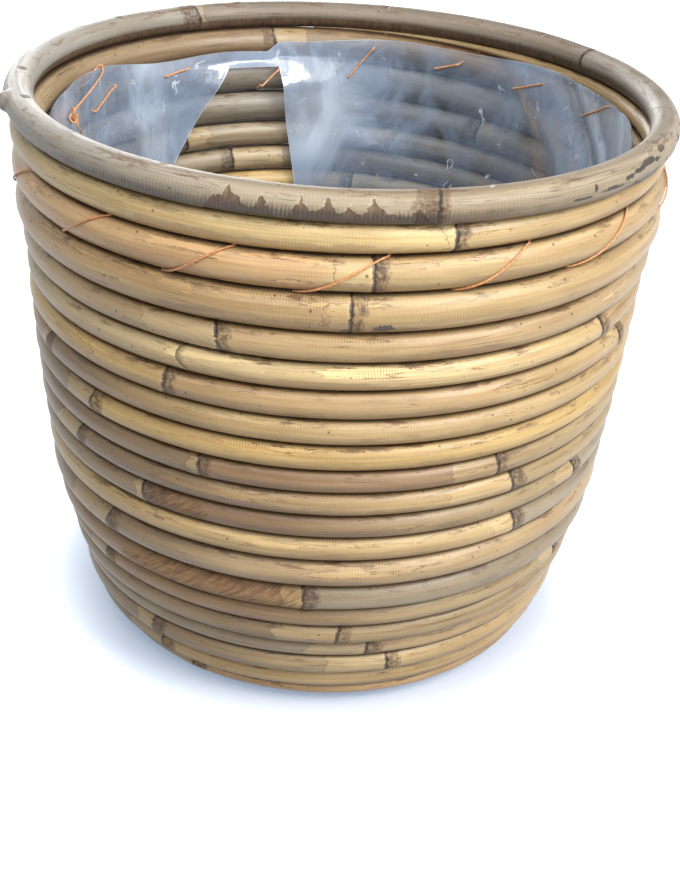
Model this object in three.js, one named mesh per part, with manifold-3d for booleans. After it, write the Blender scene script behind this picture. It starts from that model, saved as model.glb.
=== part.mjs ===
// A rattan plant basket: cane poles coiled turn on turn and nailed round a plywood base, a heavier cane
// bent into a ring for the rim, and a clear film liner laced to the third cane from the top.
// Millimetres, +Z up. The origin is the middle of the underside, and the front faces -Y.
// A place round the basket is given in turns from the front, counter-clockwise from above; a place on the
// coil is given in turns from where its bottom turn crosses the front.
import * as THREE from 'three';
import { mergeVertices } from 'three/addons/utils/BufferGeometryUtils.js';
import Module from 'manifold-3d';

const wasm = await Module();
wasm.setup();

const TURN = 2 * Math.PI;
const TINY = 1e-9;
const MERGE_DISTANCE = 1e-4;

// Rim
const RIM_RADIUS = 140; // to the middle of the cane
const RIM_HEIGHT = 253; // of the middle of the cane
const RIM_THICK = 12.4;
const RIM_JOINT = 0.235; // where its two ends meet, at the right
const RIM_STEPS = 48;
const RIM_SIDES = 8;

// Coil: radius and height of its middle line, from the tip of the bottom turn up to the rim
const WALL_PROFILE = [
  [86, 5.2],
  [97.5, 5.6],
  [105.5, 10],
  [109.5, 19],
  [118, 49],
  [124.5, 82],
  [130.5, 125],
  [133.8, 185],
  [137.9, 247],
];
// Cane thickness where each turn crosses the front, from the thin tip up
const TURN_THICKNESS = [
  5.5, 9, 9.5, 10.5, 12, 9, 11.5, 11, 14, 14.5, 12.5, 11.5, 11.5, 11, 12, 12, 13, 12.5, 13.5, 17, 15.5, 13,
];
const TURN_GAP = 1; // kept clear between one turn and the next
const LOOP_STEPS = 24;
const CANE_SIDES = 6;
const COIL_START = -0.85;
const TOP_CROSSING = 20; // where the top turn crosses the front
const COIL_END = 20.455; // the top turn has thinned out under the rim here
// The canes are thicker at the back left, so that the top turn meets the level rim there: where round the
// basket this sets in and fades out, in turns from the front, and from where to where up the coil it grows
const LIFT_RISE = [0.28, 0.56];
const LIFT_FALL = [0.75, 0.96];
const LIFT_TURNS = [9, 19.2];
const SPLICE_STEPS = [85.5, 156.5, 227.5, 302.5, 382.5, 419.5]; // where one pole ends and the next begins
const SCARF = 7; // half the run of a slanted splice
const SCARF_FACING = 30; // degrees above straight out, where the upper pole's end reaches furthest
const SPLICE_GAP = 1; // along the cane

// Base panel
const BASE_THICK = 9;
const BASE_CLEARANCE = 1.2;
const BASE_STEPS = 72;

// Film liner: a bag that stands off the coil's middle line, inside
const FILM_THICK = 0.5;
const FILM_OFFSET = 10.4;
const FILM_FOOT = 0.12; // shares of the wall's length where the film's wall begins and ends
const FILM_TOP = 0.98;
const FILM_ROWS = 6;
const FILM_FLOOR = BASE_THICK + 0.4;
const FILM_FLOOR_RADIUS = 82;
const FILM_CORNER_STEPS = 4;
const FILM_STEPS = 48;
const SEAM_TURN = 0.572; // the open side seam, at the back left
// Outline of the opening: across, and height
const SEAM_OUTLINE = [
  [-22, 230],
  [5, 230],
  [38, 184],
  [50, 150],
  [50, 30],
  [-40, 30],
  [-34, 150],
];
const THREAD_HOLE = 2.9;
const THREAD_HOLE_LENGTH = 6;

// Lacing thread: a whip stitch round the third cane
const THREAD = 1;
const THREAD_SIDES = 6;
// Where the stitches begin, in degrees from the front
const STITCH_PLACES = [-102, -77, -52, -28, -6, 19, 41, 67, 92, 116, 137, 160, 180, 200, 221, 240];
const STITCH_CANE = 19; // where the third cane crosses the front, on the coil
const STITCH_DROP = 170; // past here, where the top turn has ended, stitches go round the cane below
const STITCH_RISE = 0.57; // share of a stitch spent rising over the outside
const STITCH_ARC = [-70, -50, 0, 50, 70]; // degrees round the outside of the cane
// Where a stitch's inside run starts and ends, as shares of the way from the cane's middle to the gaps: even
// on the stitches that the front hides, then one by one
const EVEN_SPAN = [0.5, 0.5];
const HIDDEN_STITCHES = 8;
const SEEN_SPANS = [
  [0.9, 0.1],
  [0.7, 0.2],
  [0.2, 0.4],
  [1, 0.25],
  [0.2, 0.7],
  [0.6, 0.1],
  [0.5, 0.5],
];
const THREAD_CLEARANCE = 0.9;
const THREAD_BEHIND = 1.6 - FILM_OFFSET; // outward place between the cane and the film
const THREAD_INSIDE = -FILM_OFFSET - FILM_THICK - 1.3;
// How far the thread has come where it crosses the film
const FILM_CROSSING = (FILM_OFFSET + FILM_THICK / 2 + THREAD_BEHIND) / (THREAD_BEHIND - THREAD_INSIDE);
// Both ends meet at the knot: turns past the first stitch, outward, up from the gap under the cane
const KNOT_START = [
  [0, -12.6, 5],
  [0, -12.2, 1],
  [0, -8.8, 0],
];
const KNOT_END = [
  [-0.027, -8.8, 22],
  [-0.034, -8.8, 26],
  [-0.036, -10.65, 28],
  [-0.034, -12.6, 24],
  [-0.006, -14.4, 8],
  [-0.016, -14.2, -5],
];

// Brads
const BRAD = 1.6;
const BRAD_SIDES = 6;
const BRAD_HEAD = 2.8;
const BRAD_HEAD_THICK = 0.8;
const BRAD_CLEARANCE = 0.35;
const BRAD_SET = 0.4; // depth of a head under the cane's surface
const BRAD_OPENING = 1.2; // how far the clear space over a head reaches
const WALL_BRADS = 19;
const WALL_BRAD_FIRST = 1.36;
const WALL_BRAD_STEP = 1.038; // on the coil, so that the brads don't stand in one line
const WALL_BITE = 2; // past the middle of the cane under it
const BASE_BRADS = 6;
const BASE_BITE = 9; // past the inner side of the bottom turn
const SPLICE_COVER = 1; // left under the tip of a brad in a splice
const RIM_BRAD_PLACES = [-68, -27, 23, 62, 100, 136, 172, 204, 233, 275]; // degrees from the front
const RIM_BRAD_LENGTH = 21;
const RIM_BRAD_RADIUS = RIM_RADIUS - 1.2;

// Finishes
const CANE_COLOURS = [0xc9a063, 0xb58a52, 0xd2ab6c, 0xbd9a64, 0xc7a772, 0xd4b078, 0xdcbb84];
const caneFinish = (color) => new THREE.MeshStandardMaterial({ color, roughness: 0.5 });
const rimFinish = new THREE.MeshStandardMaterial({ color: 0xa89c86, roughness: 0.65 });
const plywood = new THREE.MeshStandardMaterial({ color: 0xc8a878, roughness: 0.7 });
const thread = new THREE.MeshStandardMaterial({ color: 0xd98a52, roughness: 0.45 });
const steel = new THREE.MeshStandardMaterial({ color: 0x77716a, roughness: 0.4, metalness: 1 });
const film = new THREE.MeshStandardMaterial({ color: 0xc4d2e0, roughness: 0.15 });
film.transparent = true;
film.opacity = 0.4;

const { clamp, degToRad, euclideanModulo, inverseLerp, lerp, smoothstep } = THREE.MathUtils;
const UP = new THREE.Vector3(0, 1, 0);

// The wall's section: a curve in radius and height, and where the gaps between turns lie along it
const profile = new THREE.CatmullRomCurve3(
  WALL_PROFILE.map(([radius, height]) => new THREE.Vector3(radius, height, 0)),
  false,
  'centripetal',
);
const profileLength = profile.getLength();
const thicknessSum = TURN_THICKNESS.reduce((sum, thickness) => sum + thickness, 0);
const gapPlaces = [new THREE.Vector2(0, 0)];
for (const thickness of TURN_THICKNESS) {
  const last = gapPlaces.at(-1);
  gapPlaces.push(new THREE.Vector2(last.x + 1, last.y + (thickness * profileLength) / thicknessSum));
}
const gapCurve = new THREE.SplineCurve(gapPlaces);

const gapHeight = (turns) => gapCurve.getPoint(clamp((turns + 2) / TURN_THICKNESS.length, 0, 1)).y;

// How far up the wall the top of the coil lies at a place on it
function coilTop(turns) {
  const place = turns - Math.floor(turns);
  const room = profileLength - gapHeight(TOP_CROSSING - 1 + place);
  const part = smoothstep(place, ...LIFT_RISE) * (1 - smoothstep(place, ...LIFT_FALL));
  const lift = room * part * clamp(inverseLerp(...LIFT_TURNS, turns), 0, 1);
  return Math.min(gapHeight(turns) + lift, profileLength);
}

const coilMiddle = (turns) => (coilTop(turns) + coilTop(turns - 1)) / 2;

// One ring of the coil: its place round the basket, middle point, directions out and up, half thickness
function coilRing(step) {
  const turns = step / LOOP_STEPS;
  const share = coilMiddle(turns) / profileLength;
  const up = profile.getTangentAt(share);
  return {
    angle: turns * TURN,
    middle: profile.getPointAt(share),
    up,
    out: new THREE.Vector3(up.y, -up.x, 0),
    half: (coilTop(turns) - coilTop(turns - 1) - TURN_GAP) / 2,
  };
}

// A point of the basket from a place round it, a radius and a height
function around(angle, radius, height) {
  return new THREE.Vector3(radius * Math.sin(angle), -radius * Math.cos(angle), height);
}

// The two rings of the coil that a place on it lies between, and how far it is from the first to the second
function ringsBeside(turns) {
  const step = turns * LOOP_STEPS;
  const low = Math.floor(step + TINY);
  return { rings: [coilRing(low), coilRing(low + 1)], share: step - low };
}

// A point beside the coil's middle line: x outward and y up the wall, on the straight run between two rings
function coilPoint(turns, x, y) {
  const { rings, share } = ringsBeside(turns);
  const ends = rings.map(({ angle, middle, up, out }) => {
    const place = middle.clone().addScaledVector(out, x).addScaledVector(up, y);
    return around(angle, place.x, place.y);
  });
  return ends[0].lerp(ends[1], share);
}

function coilHalf(turns) {
  const { rings, share } = ringsBeside(turns);
  return lerp(rings[0].half, rings[1].half, share);
}

const coilRadius = (turns) => coilRing(turns * LOOP_STEPS).middle.x;
const flatShare = Math.cos(Math.PI / CANE_SIDES); // a cane's flats lie this share of its half thickness out

// The middle of the gap over (side 1) or under (side -1) the coil, measured up the wall from its middle line
function gapMiddle(turns, side) {
  const other = turns + side;
  const near = flatShare * coilHalf(turns);
  const far =
    other > COIL_END
      ? profileLength - coilMiddle(turns)
      : Math.abs(coilMiddle(other) - coilMiddle(turns)) - flatShare * coilHalf(other);
  return (side * (near + far)) / 2;
}

// A closed tube through rings of points; each ring turns the right-handed way about the tube's direction
function tubeThrough(rings) {
  const sides = rings[0].length;
  const index = [];
  for (let ring = 0; ring + 1 < rings.length; ring += 1) {
    for (let side = 0; side < sides; side += 1) {
      const a = ring * sides + side;
      const b = ring * sides + ((side + 1) % sides);
      index.push(a, b, b + sides, a, b + sides, a + sides);
    }
  }
  const last = (rings.length - 1) * sides;
  for (let side = 1; side + 1 < sides; side += 1) {
    index.push(0, side + 1, side);
    index.push(last, last + side, last + side + 1);
  }
  const positions = rings.flat().flatMap((point) => point.toArray());
  const geometry = new THREE.BufferGeometry();
  geometry.setAttribute('position', new THREE.Float32BufferAttribute(positions, 3));
  geometry.setIndex(index);
  return geometry;
}

// A closed tube of even thickness along a path
function tubeAlong(points, thick, sides) {
  let across = new THREE.Vector3(0, 0, 1);
  const rings = points.map((point, i) => {
    const before = points[Math.max(i - 1, 0)];
    const after = points[Math.min(i + 1, points.length - 1)];
    const leaving = after.clone().sub(point).normalize();
    const along = point.clone().sub(before).normalize().add(leaving).normalize();
    across = across.clone().addScaledVector(along, -across.dot(along)).normalize();
    const third = along.clone().cross(across);
    return Array.from({ length: sides }, (_, side) => {
      const turned = (side * TURN) / sides;
      return point
        .clone()
        .addScaledVector(across, (Math.cos(turned) * thick) / 2)
        .addScaledVector(third, (Math.sin(turned) * thick) / 2);
    });
  });
  return tubeThrough(rings);
}

// Boolean cuts
function solidOf(geometry) {
  const bare = geometry.clone();
  bare.deleteAttribute('normal');
  bare.deleteAttribute('uv');
  const merged = mergeVertices(bare, MERGE_DISTANCE);
  const mesh = new wasm.Mesh({
    numProp: 3,
    vertProperties: merged.getAttribute('position').array,
    triVerts: new Uint32Array(merged.index.array),
  });
  return new wasm.Manifold(mesh);
}

function cutAll(geometry, tools) {
  const solid = tools.reduce((left, tool) => left.subtract(tool), solidOf(geometry));
  const mesh = solid.getMesh();
  const cut = new THREE.BufferGeometry();
  cut.setAttribute('position', new THREE.Float32BufferAttribute(mesh.vertProperties, 3));
  cut.setIndex(Array.from(mesh.triVerts));
  return cut;
}

const basket = new THREE.Group();

function add(name, geometry, material) {
  geometry.computeVertexNormals();
  const mesh = new THREE.Mesh(geometry, material);
  mesh.name = name;
  basket.add(mesh);
  return mesh;
}

// A brad standing on its tip, or the clear space that it needs and that is open over its head
function bradGeometry(length, headed, clearance) {
  const shank = BRAD / 2 + clearance;
  const head = BRAD_HEAD / 2 + clearance;
  const under = length - BRAD_HEAD_THICK - clearance;
  const top = clearance > 0 ? length + BRAD_OPENING : length;
  const upper = headed ? [[shank, under], [head, under], [head, top]] : [[shank, top]];
  const outline = [[0, -clearance], [shank, -clearance], ...upper, [0, top]];
  return new THREE.LatheGeometry(outline.map(([x, y]) => new THREE.Vector2(x, y)), BRAD_SIDES);
}

const pockets = [];

function addBrad(name, head, tip, headed) {
  const span = head.clone().sub(tip);
  const length = span.length();
  const mesh = add(name, bradGeometry(length, headed, 0), steel);
  mesh.position.copy(tip);
  mesh.quaternion.setFromUnitVectors(UP, span.normalize());
  mesh.updateMatrix();
  pockets.push(solidOf(bradGeometry(length, headed, BRAD_CLEARANCE).applyMatrix4(mesh.matrix)));
}

// A brad square to the coil, from its upper side down to a depth under its middle line
function addCoilBrad(name, turns, depth) {
  const head = coilPoint(turns, 0, flatShare * coilHalf(turns) - BRAD_SET);
  addBrad(name, head, coilPoint(turns, 0, -depth), false);
}

const bradName = (place, i) => `${place}_brad_${String(i + 1).padStart(2, '0')}`;

for (let i = 0; i < WALL_BRADS; i += 1) {
  const turns = WALL_BRAD_FIRST + i * WALL_BRAD_STEP;
  addCoilBrad(bradName('wall', i), turns, coilMiddle(turns) - coilMiddle(turns - 1) + WALL_BITE);
}

for (let i = 0; i < BASE_BRADS; i += 1) {
  const turns = COIL_START * (1 - (i + 0.5) / BASE_BRADS);
  addCoilBrad(bradName('base', i), turns, coilHalf(turns) + BASE_BITE);
}

const splices = SPLICE_STEPS.map((step) => step / LOOP_STEPS);
splices.forEach((turns, i) => {
  addCoilBrad(bradName('splice', i), turns, flatShare * coilHalf(turns) - SPLICE_COVER);
});

const rimTop = RIM_HEIGHT + (RIM_THICK / 2) * Math.cos(Math.PI / RIM_SIDES);
RIM_BRAD_PLACES.forEach((degrees, i) => {
  const head = around(degToRad(degrees), RIM_BRAD_RADIUS, rimTop - BRAD_SET);
  const tip = around(degToRad(degrees), RIM_BRAD_RADIUS, rimTop - BRAD_SET - RIM_BRAD_LENGTH);
  addBrad(bradName('rim', i), head, tip, true);
});

// How far along the cane a corner of an end lies, from the corner's place round the cane
const squareEnd = () => 0;
const scarf = (turned) => -SCARF * Math.cos(turned - degToRad(SCARF_FACING));
const endAfterSplice = (turned) => scarf(turned) + SPLICE_GAP / 2;
const endBeforeSplice = (turned) => scarf(turned) - SPLICE_GAP / 2;

// Wall canes: one unbroken tube per pole, its ends slanted where poles are spliced
function caneRing(turns, end) {
  return Array.from({ length: CANE_SIDES }, (_, side) => {
    const turned = (-side * TURN) / CANE_SIDES;
    const along = turns + end(turned) / (TURN * coilRadius(turns));
    const half = coilHalf(along);
    return coilPoint(along, half * Math.cos(turned), half * Math.sin(turned));
  });
}

function poleRings(from, to, firstEnd, lastEnd) {
  const rings = [caneRing(from, firstEnd)];
  for (let step = Math.floor(from * LOOP_STEPS) + 1; step < to * LOOP_STEPS; step += 1) {
    rings.push(caneRing(step / LOOP_STEPS, squareEnd));
  }
  rings.push(caneRing(to, lastEnd));
  return rings;
}

// The least gap between a coil and its own next turn, on points of both outlines
function leastTurnGap(rings) {
  const outline = (ring) =>
    ring.flatMap((point, i) =>
      [0, 0.25, 0.5, 0.75].map((share) => point.clone().lerp(ring[(i + 1) % ring.length], share)),
    );
  let least = Infinity;
  for (let i = 1; i + LOOP_STEPS < rings.length - 1; i += 1) {
    const above = outline(rings[i + LOOP_STEPS]);
    for (const point of outline(rings[i])) {
      least = Math.min(least, ...above.map((other) => point.distanceTo(other)));
    }
  }
  return least;
}

const poleEnds = [COIL_START, ...splices, COIL_END];
CANE_COLOURS.forEach((color, i) => {
  const firstEnd = i === 0 ? squareEnd : endAfterSplice;
  const lastEnd = i === splices.length ? squareEnd : endBeforeSplice;
  const rings = poleRings(poleEnds[i], poleEnds[i + 1], firstEnd, lastEnd);
  const name = `wall_cane_${i + 1}`;
  add(name, cutAll(tubeThrough(rings), pockets), caneFinish(color));
  console.log(`${name}: least gap to itself ${leastTurnGap(rings).toFixed(2)} mm`);
});

// Rim cane: a ring whose two ends are cut on a slant and meet
function rimRing(turns, end) {
  return Array.from({ length: RIM_SIDES }, (_, side) => {
    const turned = (-(side + 0.5) * TURN) / RIM_SIDES;
    const angle = turns * TURN + end(turned) / RIM_RADIUS;
    const half = RIM_THICK / 2;
    return around(angle, RIM_RADIUS + half * Math.cos(turned), RIM_HEIGHT + half * Math.sin(turned));
  });
}

const rimRings = [rimRing(RIM_JOINT, endAfterSplice)];
for (let step = 1; step < RIM_STEPS; step += 1) {
  rimRings.push(rimRing(RIM_JOINT + step / RIM_STEPS, squareEnd));
}
rimRings.push(rimRing(RIM_JOINT + 1, endBeforeSplice));
add('rim_cane', cutAll(tubeThrough(rimRings), pockets), rimFinish);

// Base panel: a disc trimmed to the inside of the bottom turn, so its edge is one turn of a spiral
const edge = Array.from({ length: BASE_STEPS + 1 }, (_, i) => {
  const turns = COIL_START + i / BASE_STEPS;
  const radius = coilRadius(turns) - coilHalf(turns) - BASE_CLEARANCE;
  const point = around(turns * TURN, radius, 0);
  return new THREE.Vector2(point.x, point.y);
});
const panel = new THREE.ExtrudeGeometry(new THREE.Shape(edge), { depth: BASE_THICK, bevelEnabled: false });
add('base_panel', cutAll(panel, pockets), plywood);

// Lacing: each stitch goes out under the cane, up over it, in above it and down inside the film
const stitchStarts = STITCH_PLACES.map(
  (degrees) => (degrees < STITCH_DROP ? STITCH_CANE : STITCH_CANE - 1) + degrees / 360,
);
const stitches = stitchStarts.map((first, i) => {
  const next = stitchStarts[(i + 1) % stitchStarts.length];
  const top = first + STITCH_RISE * euclideanModulo(next - first, 1);
  return { first, top, next, span: SEEN_SPANS[i - HIDDEN_STITCHES] ?? EVEN_SPAN };
});

function stitchPoints({ first, top, next, span }) {
  const high = gapMiddle(top, 1);
  const low = gapMiddle(next, -1);
  const over = STITCH_ARC.map((degrees) => {
    const turns = lerp(first, top, 0.5 + degrees / 180);
    const reach = coilHalf(turns) + THREAD / 2 + THREAD_CLEARANCE;
    const angle = degToRad(degrees);
    const height = clamp(reach * Math.sin(angle), gapMiddle(turns, -1), gapMiddle(turns, 1));
    return coilPoint(turns, reach * Math.cos(angle), height);
  });
  return [
    coilPoint(first, 0, gapMiddle(first, -1)),
    ...over,
    coilPoint(top, 0, high),
    coilPoint(top, THREAD_BEHIND, high),
    coilPoint(top, THREAD_INSIDE, high * span[0]),
    coilPoint(next, THREAD_INSIDE, low * span[1]),
    coilPoint(next, THREAD_BEHIND, low),
  ];
}

const STITCH_INSIDE_POINTS = 3; // of a stitch; the last one goes over the film's edge to the knot instead
const stitchPath = stitches.flatMap(stitchPoints);
const lowFirst = gapMiddle(stitchStarts[0], -1);
const atKnot = ([turns, x, y]) => coilPoint(stitchStarts[0] + turns, x, lowFirst + y);
const lacing = [
  ...KNOT_START.map(atKnot),
  ...stitchPath.slice(0, -STITCH_INSIDE_POINTS),
  ...KNOT_END.map(atKnot),
];

// The least gap between stretches of a thread that are several diameters apart along it
function leastThreadGap(points, thick) {
  const dense = [];
  let along = 0;
  for (let i = 0; i + 1 < points.length; i += 1) {
    const run = points[i].distanceTo(points[i + 1]);
    for (let part = 0; part < run; part += thick / 2) {
      dense.push({ point: points[i].clone().lerp(points[i + 1], part / run), along: along + part });
    }
    along += run;
  }
  let least = Infinity;
  dense.forEach((one, i) => {
    const others = dense.slice(i + 1).filter((other) => other.along - one.along > 6 * thick);
    least = Math.min(least, ...others.map((other) => one.point.distanceTo(other.point) - thick));
  });
  return least;
}

add('lacing_thread', tubeAlong(lacing, THREAD, THREAD_SIDES), thread);
console.log(`lacing_thread: least gap to itself ${leastThreadGap(lacing, THREAD).toFixed(2)} mm`);

// Film liner: one side of its section, from the middle of its floor to its top edge
function filmSide(offset) {
  const wall = Array.from({ length: FILM_ROWS + 1 }, (_, row) => {
    const share = lerp(FILM_FOOT, FILM_TOP, row / FILM_ROWS);
    const place = profile.getPointAt(share);
    const up = profile.getTangentAt(share);
    return new THREE.Vector2(place.x - up.y * offset, place.y + up.x * offset);
  });
  const floor = FILM_FLOOR + offset - FILM_OFFSET;
  const corner = new THREE.QuadraticBezierCurve(
    new THREE.Vector2(FILM_FLOOR_RADIUS, floor),
    new THREE.Vector2(wall[0].x, floor),
    wall[0],
  );
  return [new THREE.Vector2(0, floor), ...corner.getPoints(FILM_CORNER_STEPS), ...wall.slice(1)];
}

const filmOutline = [...filmSide(FILM_OFFSET), ...filmSide(FILM_OFFSET + FILM_THICK).reverse()];
const bag = new THREE.LatheGeometry(filmOutline, FILM_STEPS).rotateX(Math.PI / 2);

function threadHole(turns, side, span) {
  const height = gapMiddle(turns, side) * lerp(1, span, FILM_CROSSING);
  const middle = coilPoint(turns, -FILM_OFFSET, height);
  const outward = coilPoint(turns, 0, height).sub(middle).normalize();
  const geometry = new THREE.CylinderGeometry(THREAD_HOLE, THREAD_HOLE, THREAD_HOLE_LENGTH, THREAD_SIDES);
  geometry.applyQuaternion(new THREE.Quaternion().setFromUnitVectors(UP, outward));
  return solidOf(geometry.translate(middle.x, middle.y, middle.z));
}

// Two to a stitch, apart from the last one's upper hole
const holes = stitches.flatMap(({ top, next, span }) => [
  threadHole(top, 1, span[0]),
  threadHole(next, -1, span[1]),
]);
holes.splice(-2, 1);

const seamShape = new THREE.Shape(SEAM_OUTLINE.map(([across, height]) => new THREE.Vector2(across, height)));
const seam = new THREE.ExtrudeGeometry(seamShape, { depth: RIM_RADIUS, bevelEnabled: false });
seam.rotateX(Math.PI / 2);
seam.rotateZ(SEAM_TURN * TURN);
add('film_liner', cutAll(bag, [...holes, solidOf(seam)]), film);

export default basket;
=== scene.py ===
"""Looks of a rattan plant basket, built round its CAD frame.

Metres, +Z up, front towards -Y. A place round the basket is in turns from the front, counter-clockwise from
above. A place on the coil is in turns from where its bottom turn crosses the front.
"""

import math

import bpy
import numpy as np
from mathutils import Matrix, Vector, noise


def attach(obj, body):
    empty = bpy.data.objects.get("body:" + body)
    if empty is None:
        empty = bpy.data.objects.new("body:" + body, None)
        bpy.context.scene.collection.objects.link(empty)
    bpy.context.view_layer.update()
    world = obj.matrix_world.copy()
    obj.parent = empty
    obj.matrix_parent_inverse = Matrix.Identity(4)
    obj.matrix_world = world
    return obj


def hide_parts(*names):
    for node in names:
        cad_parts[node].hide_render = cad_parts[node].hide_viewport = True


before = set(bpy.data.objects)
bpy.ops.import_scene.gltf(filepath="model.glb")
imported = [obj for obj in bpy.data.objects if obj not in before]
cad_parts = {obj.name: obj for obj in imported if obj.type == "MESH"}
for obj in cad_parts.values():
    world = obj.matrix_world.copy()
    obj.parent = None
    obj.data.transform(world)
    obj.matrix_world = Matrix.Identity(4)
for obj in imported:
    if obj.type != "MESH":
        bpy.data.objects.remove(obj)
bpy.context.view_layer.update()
draw = np.random.default_rng(7)

TURN = 2 * math.pi
MM = 0.001

# Camera
EYE = (0, -0.6496, 0.4432)
PITCH, YAW, ROLL = 0.513, 0.012, 0.061
FOCAL_PIXELS = 1500
IMAGE_HEIGHT = 883
SENSOR = 36

# Coil, as in the CAD: radius and height of its middle line, and cane thickness turn by turn
WALL_PROFILE = np.array([
    (0.086, 0.0052), (0.0975, 0.0056), (0.1055, 0.010), (0.1095, 0.019), (0.118, 0.049),
    (0.1245, 0.082), (0.1305, 0.125), (0.1338, 0.185), (0.1379, 0.247),
])  # fmt: skip
TURN_THICKNESS = [
    5.5, 9, 9.5, 10.5, 12, 9, 11.5, 11, 14, 14.5, 12.5, 11.5, 11.5, 11, 12, 12, 13, 12.5, 13.5, 17, 15.5, 13,
]  # fmt: skip
COIL_START, TOP_CROSSING = -0.85, 20
TURNS_BEFORE = len(TURN_THICKNESS) - TOP_CROSSING  # rows of the list that come before place 0 on the coil
COIL_END = 20.52  # drawn out a little finer than the CAD's blunt tip
# Where canes are thicker: round the basket from its start to its end, and the turns over which it grows
LIFT_RISE, LIFT_FALL, LIFT_TURNS = (0.28, 0.56), (0.75, 0.96), (9, 19.2)
SNUG, SNUG_TURNS = 0.22 * MM, (20.2, 20.4)  # the top turn's thin end is pressed in under the rim
SPLICES = np.array([85.5, 156.5, 227.5, 302.5, 382.5, 419.5]) / 24
SCARF = 7 * MM  # half the run of a slanted splice
SCARF_FACING = math.radians(30)
SPLICE_GAP = 0.35 * MM
CANE_GAP = 0.25 * MM
CANE_STEP = 2.2 * MM
CANE_SIDES = 26

# Rim
RIM_RADIUS, RIM_HEIGHT, RIM_THICK = 0.140, 0.2529, 0.0129
RIM_JOINT = 0.235
RIM_STEP = 0.9 * MM
RIM_SIDES = 44
RIM_BRAD_PLACES = [-68, -27, 23, 62, 100, 136, 172, 204, 233, 275]
RIM_BRAD_INSET = 1.2 * MM

# Film and lacing
FILM_OFFSET = 10.4 * MM
THREAD = 1 * MM
STITCH_PLACES = [-102, -77, -52, -28, -6, 19, 41, 67, 92, 116, 137, 160, 180, 200, 224, 250]
STITCH_CANE = 19  # where the third cane crosses the front, on the coil
STITCH_DROP = 170  # past here, where the top turn has ended, stitches go round the cane below
STITCH_RISE = 0.57  # share of a stitch spent rising over the outside
STITCH_ARC = 72  # degrees that it reaches up and down the outside of the cane
STITCH_CLEAR = 0.15 * MM
# Where the thread shows inside the film, from this stitch on: degrees from the front and height of both ends
FIRST_SEEN_RUN = 92
SEEN_RUNS = [
    (105, 0.244, 114.5, 0.233), (129, 0.240, 137.5, 0.233), (153, 0.238, 158.5, 0.234),
    (173.5, 0.2405, 179, 0.225), (196, 0.229, 201, 0.222), (218.5, 0.232, 225, 0.230),
    (240.5, 0.232, 249, 0.224),
]  # fmt: skip


def srgb(red, green, blue):
    """A colour written in screen levels, as the linear values that Blender works in."""
    levels = np.array([red, green, blue]) / 255
    return np.where(levels <= 0.04045, levels / 12.92, ((levels + 0.055) / 1.055) ** 2.4)


TONES = {
    "straw": srgb(196, 171, 127),
    "yellow": srgb(200, 172, 117),
    "cream": srgb(228, 203, 150),
    "pale": srgb(218, 195, 148),
    "sand": srgb(187, 163, 127),
    "tan": srgb(189, 162, 121),
    "amber": srgb(208, 174, 130),
    "olive": srgb(172, 152, 116),
    "grey": srgb(156, 141, 116),
    "silver": srgb(160, 147, 125),
    "dust": srgb(196, 184, 164),
    "brown": srgb(156, 128, 97),
    "umber": srgb(146, 126, 99),
    "bark": srgb(138, 112, 84),
    "ash": srgb(150, 144, 134),
    "slate": srgb(132, 122, 110),
    "chalk": srgb(160, 157, 151),
}

# Nodes seen in the photo: turn counted from the rim, degrees from the front, tone before and after it,
# millimetres of pale cane before it and of scar after it. Without a scar it's only a change of tone
SEEN_NODES = [
    (22, -29, "brown", "straw", 4, 6),
    (20, -38, "umber", "straw", 22, 7),
    (19, -38, "umber", "umber", 10, 7),
    (19, 16, "olive", "straw", 26, 6),
    (17, 5, "umber", "olive", 27, 6),
    (16, -50, "umber", "brown", 16, 7),
    (16, 60, "olive", "brown", 12, 5),
    (15, -3, "brown", "silver", 8, 6),
    (14, -45, "umber", "umber", 30, 7),
    (14, 6, "sand", "sand", 0, 0),
    (13, 39, "straw", "silver", 12, 6),
    (12, -34, "umber", "bark", 4, 12),
    (12, 55, "olive", "silver", 14, 7),
    (11, -52, "umber", "umber", 20, 6),
    (11, 36, "straw", "olive", 30, 7),
    (10, -22, "umber", "brown", 5, 5),
    (10, 32, "brown", "olive", 20, 5),
    (9, -46, "umber", "yellow", 18, 7),
    (8, -62, "brown", "umber", 8, 6),
    (8, -10, "straw", "straw", 0, 0),
    (7, -28, "yellow", "tan", 40, 5),
    (7, 63, "straw", "tan", 16, 7),
    (7, 206, "silver", "silver", 30, 7),
    (6, 54, "pale", "tan", 12, 6),
    (6, 218, "silver", "dust", 14, 7),
    (5, -18, "sand", "tan", 33, 5.5),
    # The ash tones here and at 200 degrees on turn 4 are partly painted shade: they darken the upper inside
    # of the back wall
    (5, 147, "grey", "ash", 20, 8),
    (4, 3, "tan", "straw", 8, 5),
    (4, 200, "ash", "ash", 0, 0),
    (3, -9, "amber", "amber", 0, 0),
    (3, 6, "pale", "straw", 14, 4.5),
    (3, 196, "umber", "umber", 18, 7),
    (2, 18, "cream", "straw", 5, 5),
]
# Where none is seen: metres of cane between nodes, lengths of pale cane and scar, and tones
HIDDEN_SPAN = 0.42
HIDDEN_PALE, HIDDEN_SCAR = (4, 30), (4, 8)
HIDDEN_SHIFT = 0.15  # most that one lies off its even place, as a share of the length between two
HIDDEN_TONES = [name for name in TONES if name not in ("bark", "ash", "slate", "chalk")]
BEFORE_FIRST = (COIL_START - 0.25, "tan", "tan", 4, 8)
AFTER_LAST = (COIL_END + 0.3, "straw", "tan", 4, 8)
MEAN_RADIUS = 0.128
NODE_SLANT = 1.6  # most that a node's ring runs askew, in millimetres
NODE_RIDGE = [(0.045, 5), (-0.055, 0.7)]  # share of the half thickness, half width in millimetres
NODE_REACH = 60  # millimetres; further than any mark of a node reaches
NODE_CLEAR = 0.02  # turns between a node and a cane's end

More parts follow.
